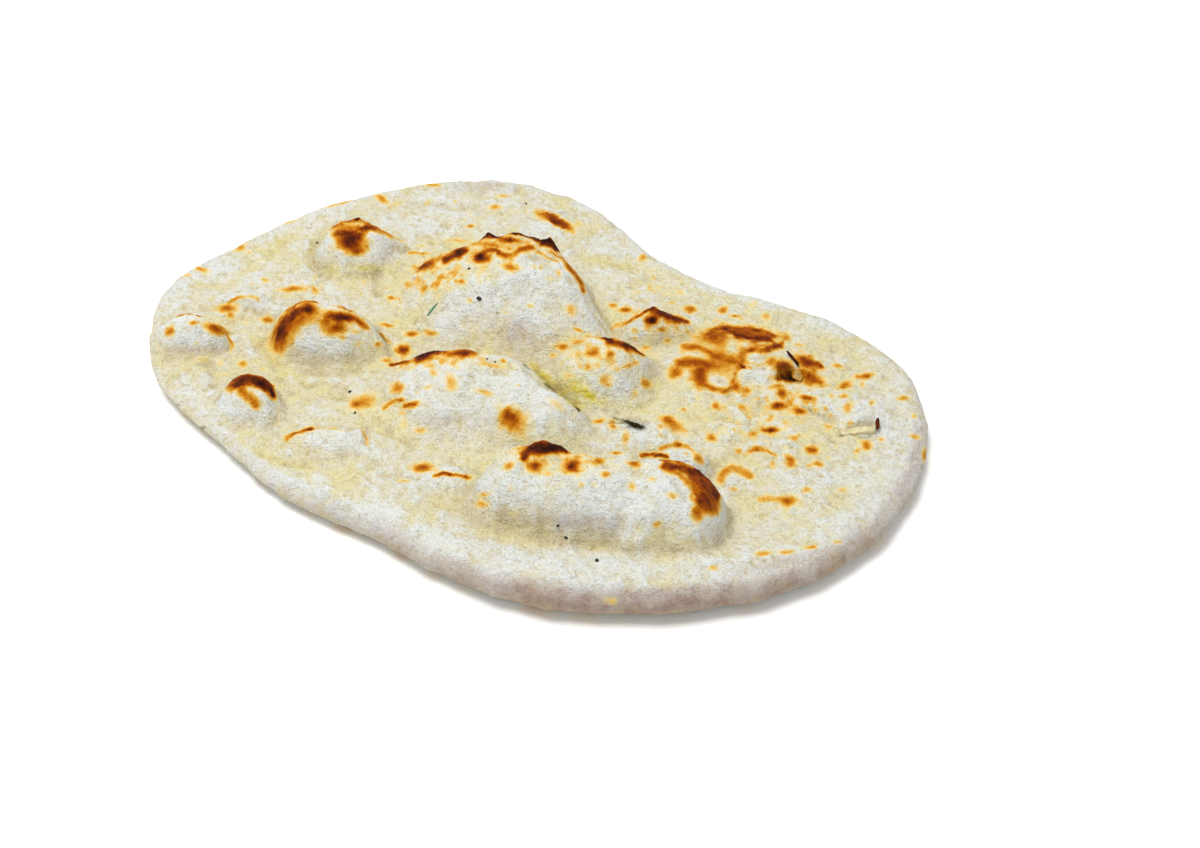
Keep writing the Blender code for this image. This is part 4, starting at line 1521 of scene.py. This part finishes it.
@dataclass(frozen=True)
class CrustFinish:
    """Baked dough: cream, whitened on the blisters by flour and painted light, buttery in the valleys,
    toasted to black in spots, darkened by painted shade on the rim's side and in creases and by painted
    shadow in holes.
    """

    name: str = "baked_crust"
    cream: Colour = (210, 200, 162)
    pale: Colour = (211, 206, 184)
    # Flour and painted light: the whitening laid on high ground and on blister feet
    floury_and_lit: Colour = (217, 220, 217)
    butter: Colour = (221, 209, 130)
    oil: Colour = (208, 190, 48)
    # Painted shade on the rim's side and at blister feet
    blush: Colour = (162, 137, 125)
    # Painted shade in creases, valleys and at blister feet
    crease: Colour = (182, 162, 128)
    # Painted shadow in holes, the slit and deep creases
    hollow: Colour = (40, 30, 4)
    dust_shade: Colour = (212, 208, 198)
    crumb_shade: Colour = (222, 214, 194)
    scorch: tuple[tuple[float, Colour], ...] = (
        (0.0, (228, 219, 168)),
        (0.14, (230, 208, 134)),
        (0.26, (223, 186, 106)),
        (0.38, (213, 154, 50)),
        (0.52, (186, 108, 6)),
        (0.64, (152, 72, 2)),
        (0.78, (108, 42, 5)),
        (0.9, (70, 25, 7)),
        (1.0, (40, 14, 8)),
    )
    roughness: float = 0.72
    gloss: float = 0.07
    glow_share: float = 0.06
    glow_radius: tuple[float, float, float] = (1.0, 0.7, 0.4)
    glow_depth: float = 0.0015

    def build(self) -> bpy.types.Material:
        """Makes the material.

        Returns:
            The crust, which reads the painted values of the piece that wears it.
        """
        bench = NodeBench(bpy.data.materials.new(self.name))
        broad = bench.grain(size_mm=16.0)
        patchy = bench.grain(size_mm=4.5, detail=4.0)
        fine = bench.grain(size_mm=1.3, roughness=0.7)
        dust = bench.grain(size_mm=0.5, detail=2.0, roughness=0.7)
        streaks = bench.grain(size_mm=2.0, roughness=0.6, squeeze=(0.22, 1.0, 1.0), turn=0.7)

        colour = bench.mix(bench.stretch(broad, 0.35, 0.65, 0, 1), self.cream, self.pale)
        butter = bench.stretch(patchy, 0.35, 0.65, 0.7, 1.1)
        butter = bench.sum(Sum.TIMES, bench.attribute(Tone.BUTTER.value), butter)
        oily = bench.mix(bench.stretch(butter, 0.5, 1.0, 0.0, 1.0), self.butter, self.oil)
        colour = bench.mix(butter, colour, oily)
        # Flour and painted light whiten the colour, less where butter lies
        floury_and_lit = bench.stretch(patchy, 0.32, 0.58, 0.55, 1.05)
        floury_and_lit = bench.sum(Sum.TIMES, bench.attribute(Tone.FLOUR_AND_LIGHT.value), floury_and_lit)
        floury_and_lit = bench.sum(Sum.ADD, floury_and_lit, bench.stretch(fine, 0.3, 0.7, -0.34, 0.34))
        floury_and_lit = bench.sum(Sum.ADD, floury_and_lit, bench.stretch(streaks, 0.3, 0.7, -0.2, 0.2))
        below = bench.attribute(Tone.UNDERSIDE.value)
        under_flour = bench.sum(Sum.TIMES, below, bench.stretch(broad, 0.4, 0.55, 0, 0.7))
        floury_and_lit = bench.sum(Sum.ADD, floury_and_lit, under_flour)
        floury_and_lit = bench.sum(Sum.TIMES, floury_and_lit, bench.stretch(butter, 0.3, 0.9, 1.0, 0.15))
        colour = bench.mix(bench.stretch(floury_and_lit, 0.0, 1.0, 0.0, 1.0), colour, self.floury_and_lit)
        # Painted shade: mauve on the rim's side and at blister feet
        blush = bench.stretch(patchy, 0.3, 0.7, 0.6, 1.05)
        blush = bench.sum(Sum.TIMES, bench.attribute(Tone.PAINTED_SHADE.value), blush)
        colour = bench.mix(blush, colour, self.blush)
        # Painted shade: tan in creases, valleys and at blister feet
        crease_shading = bench.sum(Sum.TIMES, bench.attribute(Tone.CREASE_SHADE.value), 0.65)
        colour = bench.mix(crease_shading, colour, self.crease)
        dusty = bench.stretch(dust, 0.34, 0.47, 0.5, 0.0)
        colour = bench.mix(dusty, colour, self.dust_shade, Blend.DARKEN)
        crumbly = bench.stretch(fine, 0.3, 0.46, 0.6, 0.0)
        colour = bench.mix(crumbly, colour, self.crumb_shade, Blend.DARKEN)

        baked_spots = bench.grain(size_mm=9.0, detail=2.0, roughness=0.5)
        baked_spots = bench.stretch(baked_spots, 0.56, 0.78, 0.0, 0.85)
        baked_spots = bench.sum(Sum.TIMES, below, baked_spots)
        heat = bench.sum(Sum.ADD, bench.attribute(Tone.SCORCH.value), baked_spots)
        uneven = bench.stretch(patchy, 0.3, 0.7, 0.86, 1.12)
        uneven = bench.sum(Sum.ADD, uneven, bench.stretch(fine, 0.3, 0.7, -0.08, 0.08))
        heat = bench.sum(Sum.TIMES, heat, uneven)
        toasted = bench.ramp(heat, self.scorch)
        colour = bench.mix(bench.stretch(heat, 0.03, 0.26, 0.0, 1.0), colour, toasted)
        # Painted shadow: near black in the hole, the slit and deep creases
        colour = bench.mix(bench.attribute(Tone.HOLLOW_SHADOW.value), colour, self.hollow)
        bench.link(colour, bench.shader.inputs["Base Color"])

        bench.shader.inputs["Roughness"].default_value = self.roughness
        bench.shader.inputs["Specular IOR Level"].default_value = self.gloss
        bench.shader.inputs["Subsurface Weight"].default_value = self.glow_share
        bench.shader.inputs["Subsurface Radius"].default_value = self.glow_radius
        bench.shader.inputs["Subsurface Scale"].default_value = self.glow_depth
        normal = bench.bump(patchy, depth_mm=2.4, strength=0.6)
        normal = bench.bump(streaks, depth_mm=1.5, strength=0.5, under=normal)
        normal = bench.bump(fine, depth_mm=1.4, strength=0.7, under=normal)
        normal = bench.bump(dust, depth_mm=0.6, strength=0.8, under=normal)
        bench.link(normal, bench.shader.inputs["Normal"])
        return bench.material


@dataclass(frozen=True)
class PlainFinish:
    """A small piece's own colour, mottled between two shades."""

    name: str
    dark: Colour
    light: Colour
    grain_mm: float = 1.0
    roughness: float = 0.6
    gloss: float = 0.3

    def build(self) -> bpy.types.Material:
        """Makes the material.

        Returns:
            The finish, mottled and slightly rough.
        """
        bench = NodeBench(bpy.data.materials.new(self.name))
        grain = bench.grain(self.grain_mm)
        colour = bench.mix(bench.stretch(grain, 0.3, 0.7, 0, 1), self.dark, self.light)
        bench.link(colour, bench.shader.inputs["Base Color"])
        bench.shader.inputs["Roughness"].default_value = self.roughness
        bench.shader.inputs["Specular IOR Level"].default_value = self.gloss
        normal = bench.bump(grain, depth_mm=0.15, strength=0.5)
        bench.link(normal, bench.shader.inputs["Normal"])
        return bench.material


FOLDED_SKIN = PlainFinish("folded_skin", (184, 170, 122), (214, 206, 174), 2.2)
SEED_COAT = PlainFinish("nigella", (16, 14, 12), (40, 34, 28), 0.4)
GREEN_STALK = PlainFinish("green_stalk", (58, 104, 78), (96, 146, 112), 0.8)


# The pieces


@dataclass
class NaanSkin:
    """The whole bread as one closed skin, modelled from a flat box of fine squares."""

    form: BreadForm
    camera: PhotoCamera
    finish: CrustFinish
    squares_along: int = 342
    squares_across: int = 236
    edge_rows: int = 11
    fold_deg: float = 45.0
    underside_share: float = 0.03
    side_depth: float = 7.0
    # Painted shade on the rim's side is heaviest towards this direction, the near right
    painted_shade_direction: float = -36.0
    painted_shade_reach: float = 52.0
    butter_level: float = -0.06
    butter_depth: float = 8.0
    butter_mottle: float = 0.6
    most_butter: float = 0.42
    # Flour and painted light, whiter where the skin stands high
    flour_and_light_level: float = 0.3
    flour_and_light_height: float = 2.4
    flour_and_light_mottle: float = 0.8
    most_flour_and_light: float = 0.92
    # Painted shade in creases and valleys, from how far the skin lies below its surroundings
    crease_shade_level: float = -0.28
    crease_shade_depth: float = 0.4
    valley_shade_level: float = -0.26
    valley_shade_depth: float = 1.6
    most_crease_shade: float = 0.75
    flour_and_light_lost_to_butter: float = 0.9
    crease_shade_lost_to_flour_and_light: float = 0.6
    broad_steps: int = 220
    middling_steps: int = 60
    near_steps: int = 9

    def model(self) -> bpy.types.Object:
        """Grows the box and moves its points to the bread's skin.

        Returns:
            The skin, with its underside thinned out.
        """
        deselect_all()
        bpy.ops.mesh.primitive_grid_add(
            x_subdivisions=self.squares_along, y_subdivisions=self.squares_across, size=2
        )
        bread = bpy.context.object
        bread.name = "naan_skin"
        bpy.ops.object.mode_set(mode="EDIT")
        bpy.ops.mesh.select_all(action="SELECT")
        bpy.ops.transform.translate(value=(0, 0, -1))
        bpy.ops.mesh.extrude_region_move(TRANSFORM_OT_translate={"value": (0, 0, 2)})
        bpy.ops.object.mode_set(mode="OBJECT")
        mesh = bread.data
        points = self.points(mesh)
        upright = np.abs(np.diff(points[self.edge_ends(mesh), 2], axis=1))[:, 0] > 1
        bpy.context.tool_settings.mesh_select_mode = (False, True, False)
        self.select(mesh, mesh.edges, upright)
        bpy.ops.object.mode_set(mode="EDIT")
        bpy.ops.mesh.subdivide(number_cuts=self.edge_rows - 1)
        bpy.ops.mesh.select_all(action="SELECT")
        bpy.ops.mesh.normals_make_consistent(inside=False)
        bpy.ops.object.mode_set(mode="OBJECT")

        box = self.points(mesh)
        shaped = self.form.shaped(box, self.fold_deg)
        self.paint(mesh, shaped, box[:, 2] > -FLAT_LEVEL)
        mesh.vertices.foreach_set("co", (shaped * MM).ravel())
        self.thin_underside(bread, box[:, 2] < -FLAT_LEVEL)
        mesh.shade_smooth()
        return bread

    def points(self, mesh: bpy.types.Mesh) -> np.ndarray:
        """Reads a mesh's points.

        Args:
            mesh: The mesh.

        Returns:
            Rows of x, y and z.
        """
        flat = np.empty(len(mesh.vertices) * 3)
        mesh.vertices.foreach_get("co", flat)
        return flat.reshape(-1, 3)

    def edge_ends(self, mesh: bpy.types.Mesh) -> np.ndarray:
        """Reads a mesh's edges.

        Args:
            mesh: The mesh.

        Returns:
            Rows of the two points of each edge.
        """
        ends = np.empty(len(mesh.edges) * 2, int)
        mesh.edges.foreach_get("vertices", ends)
        return ends.reshape(-1, 2)

    def select(
        self, mesh: bpy.types.Mesh, items: bpy.types.bpy_prop_collection, chosen: np.ndarray
    ) -> None:
        """Selects some of a mesh's edges or faces, and nothing else.

        Args:
            mesh: The mesh.
            items: Its edges or its faces.
            chosen: Which of them.
        """
        for other in (mesh.vertices, mesh.edges, mesh.polygons):
            other.foreach_set("select", np.zeros(len(other), bool))
        items.foreach_set("select", chosen)

    def thin_underside(self, bread: bpy.types.Object, under: np.ndarray) -> None:
        """Leaves few faces on the flat underside.

        Args:
            bread: The skin.
            under: Which of its points are underneath.
        """
        mesh = bread.data
        corner_totals = np.empty(len(mesh.polygons), int)
        mesh.polygons.foreach_get("loop_total", corner_totals)
        corners = np.empty(len(mesh.loops), int)
        mesh.loops.foreach_get("vertex_index", corners)
        starts = np.concatenate([[0], np.cumsum(corner_totals)[:-1]])
        below = np.logical_and.reduceat(under[corners], starts)
        bpy.context.view_layer.objects.active = bread
        bpy.context.tool_settings.mesh_select_mode = (False, False, True)
        self.select(mesh, mesh.polygons, below)
        bpy.ops.object.mode_set(mode="EDIT")
        bpy.ops.mesh.decimate(ratio=self.underside_share)
        bpy.ops.object.mode_set(mode="OBJECT")

    def paint(self, mesh: bpy.types.Mesh, points: np.ndarray, upper: np.ndarray) -> None:
        """Writes the marks as the mesh's own values, one for each tone.

        Args:
            mesh: The skin's mesh.
            points: Where its points go, in millimetres.
            upper: Which of them aren't underneath.
        """
        painter = SkinPainter(self.camera, points, upper)
        ends = self.edge_ends(mesh)
        broad, middling, near = (
            painter.standing(ends, steps)
            for steps in (self.broad_steps, self.middling_steps, self.near_steps)
        )
        x, y = points[:, 0], points[:, 1]
        angle = np.arctan2(y, x)
        drifts = waves(x, y, size=15.0, seed=71.3, octaves=3)
        mottle = drifts + 0.7 * waves(x, y, size=5.0, seed=79.0, octaves=3)
        # Painted shade in valleys and creases, held lower towards the left end
        valley_shade = self.valley_shade_level - middling / self.valley_shade_depth
        valley_shade = np.minimum(valley_shade, 0.12 + 0.16 * smooth_step((x + 50) / 50))
        crease = np.maximum(self.crease_shade_level - near / self.crease_shade_depth, valley_shade)
        butter = self.butter_level - broad / self.butter_depth + self.butter_mottle * mottle
        # Flour and painted light: whiter where the skin stands high
        flour = self.flour_and_light_level + broad / self.flour_and_light_height + near - self.flour_and_light_mottle * mottle
        inset = self.form.radius(angle) - np.hypot(x, y)
        # Painted shade on the rim's side, heaviest on the near right
        side = smooth_step((self.side_depth - inset + drifts) / self.side_depth)
        blush = 0.12 + 0.88 * toward(angle, self.painted_shade_direction, self.painted_shade_reach)
        lay = {
            Tone.BUTTER: np.clip(butter, 0, self.most_butter),
            Tone.FLOUR_AND_LIGHT: np.clip(flour, 0, self.most_flour_and_light),
            Tone.CREASE_SHADE: np.clip(crease, 0, self.most_crease_shade),
            Tone.PAINTED_SHADE: np.clip((1.0 + 0.25 * drifts) * side * blush, 0, 1),
        }
        scorch = TIP_MARKS + LEFT_MARKS + GREAT_BLISTER_MARKS + MIDDLE_MARKS
        scorch += LONG_BLISTER_MARKS + PLATEAU_MARKS + BURST_MARKS
        layers = {
            Tone.SCORCH: [*painter.freckle_spots(TOASTED_FRECKLES), *scorch],
            Tone.BUTTER: BUTTER_MARKS,
            Tone.FLOUR_AND_LIGHT: FLOUR_AND_LIGHT_MARKS,
            Tone.PAINTED_SHADE: PAINTED_SHADE_MARKS,
            Tone.HOLLOW_SHADOW: HOLLOW_SHADOW_MARKS,
            Tone.CREASE_SHADE: CREASE_SHADE_MARKS,
        }
        write_tone(mesh, Tone.UNDERSIDE, ~upper)
        buttery = floury_and_lit = 0.0
        for tone, marks in layers.items():
            values = painter.layer(marks)
            if tone in lay:
                values = painter.over(values, lay[tone] * upper)
            if tone is Tone.BUTTER:
                buttery = values
            if tone is Tone.FLOUR_AND_LIGHT:
                values = floury_and_lit = values * (1 - self.flour_and_light_lost_to_butter * buttery)
            if tone is Tone.CREASE_SHADE:
                values = values * (1 - self.crease_shade_lost_to_flour_and_light * floury_and_lit)
            write_tone(mesh, tone, values)

    def build(self) -> bpy.types.Object:
        """Models the skin, dresses it and puts it in the solid's place.

        Returns:
            The finished skin.
        """
        bread = self.model()
        bread.data.materials.append(self.finish.build())
        hand_over(bread, "naan_bread")
        return bread


@dataclass(frozen=True)
class Flake:
    """A thin torn scrap: where it starts and ends in the photograph, and its shape in millimetres."""

    name: str
    start: Pixel
    end: Pixel
    width: float
    thickness: float = 0.6
    curl: float = 0.8
    lift: float = 0.2
    toast: float = 0.0
    edge_toast: float = 0.45


TORN_FLAKES = (
    Flake("flake in the hole", (792, 375), (803, 379), 1.8, 0.35, 0.8, 0.3, 0.2, 0.5),
    Flake("scorched splinter", (787, 353), (798, 368), 1.1, 0.7, 0.3, 1.0, 0.92, 1.0),
)
TORN_ROLL = Flake("torn roll", (839, 432), (875, 429), 4.4, 0.5, 2.1, 0.0, 0.1, 0.3)
ROLL_END = Flake("scorched end of the roll", (877, 433), (877, 422), 1.5, 0.6, 0.3, 1.8, 0.88, 0.96)
LEAF_STALK = Flake("leaf stalk", (427, 316), (438, 303), 0.9, 0.5, 0.2, 0.1, 0.0, 0.0)
SEEDS: tuple[tuple[Pixel, float], ...] = (
    ((479, 299), 0.95),
    ((469, 269), 0.55),
    ((597, 561), 0.75),
    ((350, 392), 0.6),
    ((355, 413), 0.5),
    ((566, 538), 0.6),
    ((558, 526), 0.55),
    ((526, 204), 0.5),
    ((317, 243), 0.45),
    ((487, 359), 0.4),
    ((495, 362), 0.4),
)


@dataclass
class Scraps:
    """The torn flakes, the roll of skin, the seeds and the stalk that lie on the bread."""

    camera: PhotoCamera
    skin: bpy.types.Object
    crust: bpy.types.Material
    surface: BVHTree = field(init=False)
    flour_on_flakes: float = 0.35
    seed_shape: tuple[float, float, float] = (1.25, 0.85, 0.7)
    seed_lift: float = 0.35
    seed_turn: float = 1.3
    roll_corners: int = 28
    roll_rings: int = 10

    def __post_init__(self) -> None:
        """Makes the skin ready to be touched."""
        self.surface = BVHTree.FromObject(self.skin, bpy.context.evaluated_depsgraph_get())

    def course(self, flake: Flake) -> tuple[Vector, Vector, Vector]:
        """Finds where a scrap lies.

        Args:
            flake: Its place and shape.

        Returns:
            Its start, the way from there to its end, and the direction to its side.
        """
        start = self.camera.touch(self.surface, flake.start)
        end = self.camera.touch(self.surface, flake.end)
        run = Vector((end.x - start.x, end.y - start.y, 0))
        return start, run, Vector((-run.y, run.x, 0)).normalized()

    def ground(self, x: float, y: float) -> float:
        """Height of the skin at a place, in metres."""
        point = self.surface.ray_cast(Vector((x, y, 0.1)), Vector((0, 0, -1)))[0]
        return point.z if point else 0.0

    def sheet(self, flake: Flake, along: int = 14, across: int = 8) -> bpy.types.Object:
        """Models a curled scrap and lays it on the skin.

        Args:
            flake: Its place and shape.
            along: Squares along it.
            across: Squares across it.

        Returns:
            The scrap, with its thickness and its toasted edges.
        """
        start, run, side = self.course(flake)
        deselect_all()
        bpy.ops.mesh.primitive_grid_add(x_subdivisions=along, y_subdivisions=across, size=1)
        scrap = bpy.context.object
        scrap.name = flake.name.replace(" ", "_")
        bpy.ops.object.mode_set(mode="EDIT")
        bpy.ops.mesh.select_all(action="SELECT")
        bpy.ops.transform.translate(value=(0.5, 0, 0))
        bpy.ops.transform.resize(value=(1, flake.width, 1), center_override=(0, 0, 0))
        bpy.ops.object.mode_set(mode="OBJECT")
        toast = scrap.data.attributes.new(Tone.SCORCH.value, "FLOAT", "POINT")
        seed = sum(flake.start)
        for index, vertex in enumerate(scrap.data.vertices):
            u, v = vertex.co.x, vertex.co.y / flake.width * 2
            ragged = 0.5 * noise.noise(Vector((u * 6, v * 2, seed)))
            taper = (1 - 0.75 * abs(2 * u - 1) ** 3) * (1 + ragged)
            rise = flake.lift + flake.curl * (0.55 * v * v + 0.45 * abs(2 * u - 1) ** 2.5)
            rise += 0.5 * ragged * flake.curl
            place = start + run * (u + 0.2 * ragged * v)
            place += side * (v * taper * flake.width / 2 * MM)
            vertex.co = Vector((place.x, place.y, self.ground(place.x, place.y) + rise * MM))
            edge = max(abs(v), abs(2 * u - 1)) ** 3
            toast.data[index].value = flake.toast + (flake.edge_toast - flake.toast) * edge
        thick = scrap.modifiers.new("thickness", "SOLIDIFY")
        thick.thickness = flake.thickness * MM
        thick.offset = 0.0
        round_off = scrap.modifiers.new("rounding", "SUBSURF")
        round_off.levels = round_off.render_levels = 1
        for modifier in ("thickness", "rounding"):
            bpy.ops.object.modifier_apply(modifier=modifier)
        scrap.data.shade_smooth()
        return scrap

    def roll(self, flake: Flake) -> bpy.types.Object:
        """Models the half-open roll of skin and lays it on the bread.

        Args:
            flake: Its place and shape; the curl is its radius.

        Returns:
            The roll, open underneath and pinched at its start.
        """
        start, run, side = self.course(flake)
        deselect_all()
        bpy.ops.mesh.primitive_cylinder_add(
            vertices=self.roll_corners, radius=flake.curl, depth=1, end_fill_type="NOTHING"
        )
        tube = bpy.context.object
        tube.name = flake.name.replace(" ", "_")
        bpy.ops.object.mode_set(mode="EDIT")
        bpy.ops.mesh.select_all(action="SELECT")
        bpy.ops.mesh.subdivide(number_cuts=self.roll_rings - 1)
        bpy.ops.mesh.select_all(action="SELECT")
        bpy.ops.mesh.bisect(plane_co=(0, -0.5, 0), plane_no=(0, 1, 0), clear_inner=True)
        bpy.ops.object.mode_set(mode="OBJECT")
        toast = tube.data.attributes.new(Tone.SCORCH.value, "FLOAT", "POINT")
        for index, vertex in enumerate(tube.data.vertices):
            u = vertex.co.z + 0.5
            pinch = 0.45 + 0.55 * min(1.0, u * 2.2)
            wobble = 1 + 0.12 * noise.noise(Vector((u * 4, vertex.co.x, 3)))
            place = start + run * u + side * (vertex.co.x * pinch * wobble * MM)
            rise = (vertex.co.y * pinch * wobble * 0.8 + 0.3) * MM
            toast.data[index].value = flake.toast + 0.16 * (u**8) + 0.1 * (1 - u) ** 4
            vertex.co = Vector((place.x, place.y, self.ground(place.x, place.y) + rise))
        bpy.ops.object.mode_set(mode="EDIT")
        bpy.ops.mesh.select_all(action="SELECT")
        bpy.ops.mesh.normals_make_consistent(inside=False)
        bpy.ops.object.mode_set(mode="OBJECT")
        thick = tube.modifiers.new("thickness", "SOLIDIFY")
        thick.thickness = flake.thickness * MM
        bpy.ops.object.modifier_apply(modifier="thickness")
        tube.data.shade_smooth()
        return tube

    def seeds(self) -> bpy.types.Object:
        """Scatters the black seeds where the photograph shows them.

        Returns:
            All seeds as one piece.
        """
        grains = []
        for index, (pixel, radius) in enumerate(SEEDS):
            place = self.camera.touch(self.surface, pixel)
            deselect_all()
            bpy.ops.mesh.primitive_ico_sphere_add(subdivisions=2, radius=radius * MM)
            bpy.ops.object.mode_set(mode="EDIT")
            bpy.ops.mesh.select_all(action="SELECT")
            bpy.ops.transform.resize(value=self.seed_shape, center_override=(0, 0, 0))
            bpy.ops.object.mode_set(mode="OBJECT")
            grain = bpy.context.object
            stand = Matrix.Rotation(index * self.seed_turn, 4, "Z")
            stand.translation = place + Vector((0, 0, radius * self.seed_lift * MM))
            grain.data.transform(stand)
            grains.append(grain)
        deselect_all()
        for grain in grains:
            grain.select_set(True)
        bpy.context.view_layer.objects.active = grains[0]
        bpy.ops.object.join()
        grains[0].name = "black_seeds"
        grains[0].data.shade_smooth()
        return grains[0]

    def build(self) -> None:
        """Models every scrap and gives it its finish."""
        for flake in (*TORN_FLAKES, ROLL_END):
            scrap = self.sheet(flake)
            write_tone(scrap.data, Tone.FLOUR_AND_LIGHT, np.full(len(scrap.data.vertices), self.flour_on_flakes))
            scrap.data.materials.append(self.crust)
            hand_over(scrap)
        roll = self.roll(TORN_ROLL)
        roll.data.materials.append(FOLDED_SKIN.build())
        hand_over(roll)
        seeds = self.seeds()
        seeds.data.materials.append(SEED_COAT.build())
        hand_over(seeds)
        stalk = self.sheet(LEAF_STALK, 10, 4)
        stalk.data.materials.append(GREEN_STALK.build())
        hand_over(stalk)


@dataclass
class Studio:
    """A plain pale floor and soft light from above."""

    floor_size: float = 6.0
    floor_colour: Colour = (250, 250, 250)
    floor_roughness: float = 0.9
    sky_strength: float = 0.64
    key_energy: float = 20.0
    key_size: float = 0.8
    key_place: tuple[float, float, float] = (-0.25, -0.2, 1.4)

    def build(self) -> None:
        """Adds the floor, the sky and the key light."""
        deselect_all()
        bpy.ops.mesh.primitive_plane_add(size=self.floor_size)
        floor = bpy.context.object
        floor.name = "floor"
        bench = NodeBench(bpy.data.materials.new("pale_floor"))
        bench.shader.inputs["Base Color"].default_value = linear(self.floor_colour)
        bench.shader.inputs["Roughness"].default_value = self.floor_roughness
        floor.data.materials.append(bench.material)

        sky = bpy.data.worlds.new("studio")
        sky.use_nodes = True
        background = sky.node_tree.nodes["Background"]
        background.inputs["Color"].default_value = (1.0, 1.0, 1.0, 1.0)
        background.inputs["Strength"].default_value = self.sky_strength
        bpy.context.scene.world = sky

        key = bpy.data.lights.new("key", "AREA")
        key.size = self.key_size
        key.energy = self.key_energy
        lamp = bpy.data.objects.new("key", key)
        lamp.location = self.key_place
        lamp.rotation_euler = (-lamp.location).to_track_quat("-Z", "Y").to_euler()
        bpy.context.scene.collection.objects.link(lamp)
        bpy.context.scene.view_settings.view_transform = "Standard"


def main() -> None:
    """Builds the bread piece by piece, then the studio round it."""
    logging.basicConfig(level=logging.INFO, format="%(message)s")
    camera = PhotoCamera()
    camera.set_up()
    skin = NaanSkin(BreadForm(), camera, CrustFinish()).build()
    Scraps(camera, skin, skin.data.materials[0]).build()
    Studio().build()


if __name__ == "__main__":
    main()
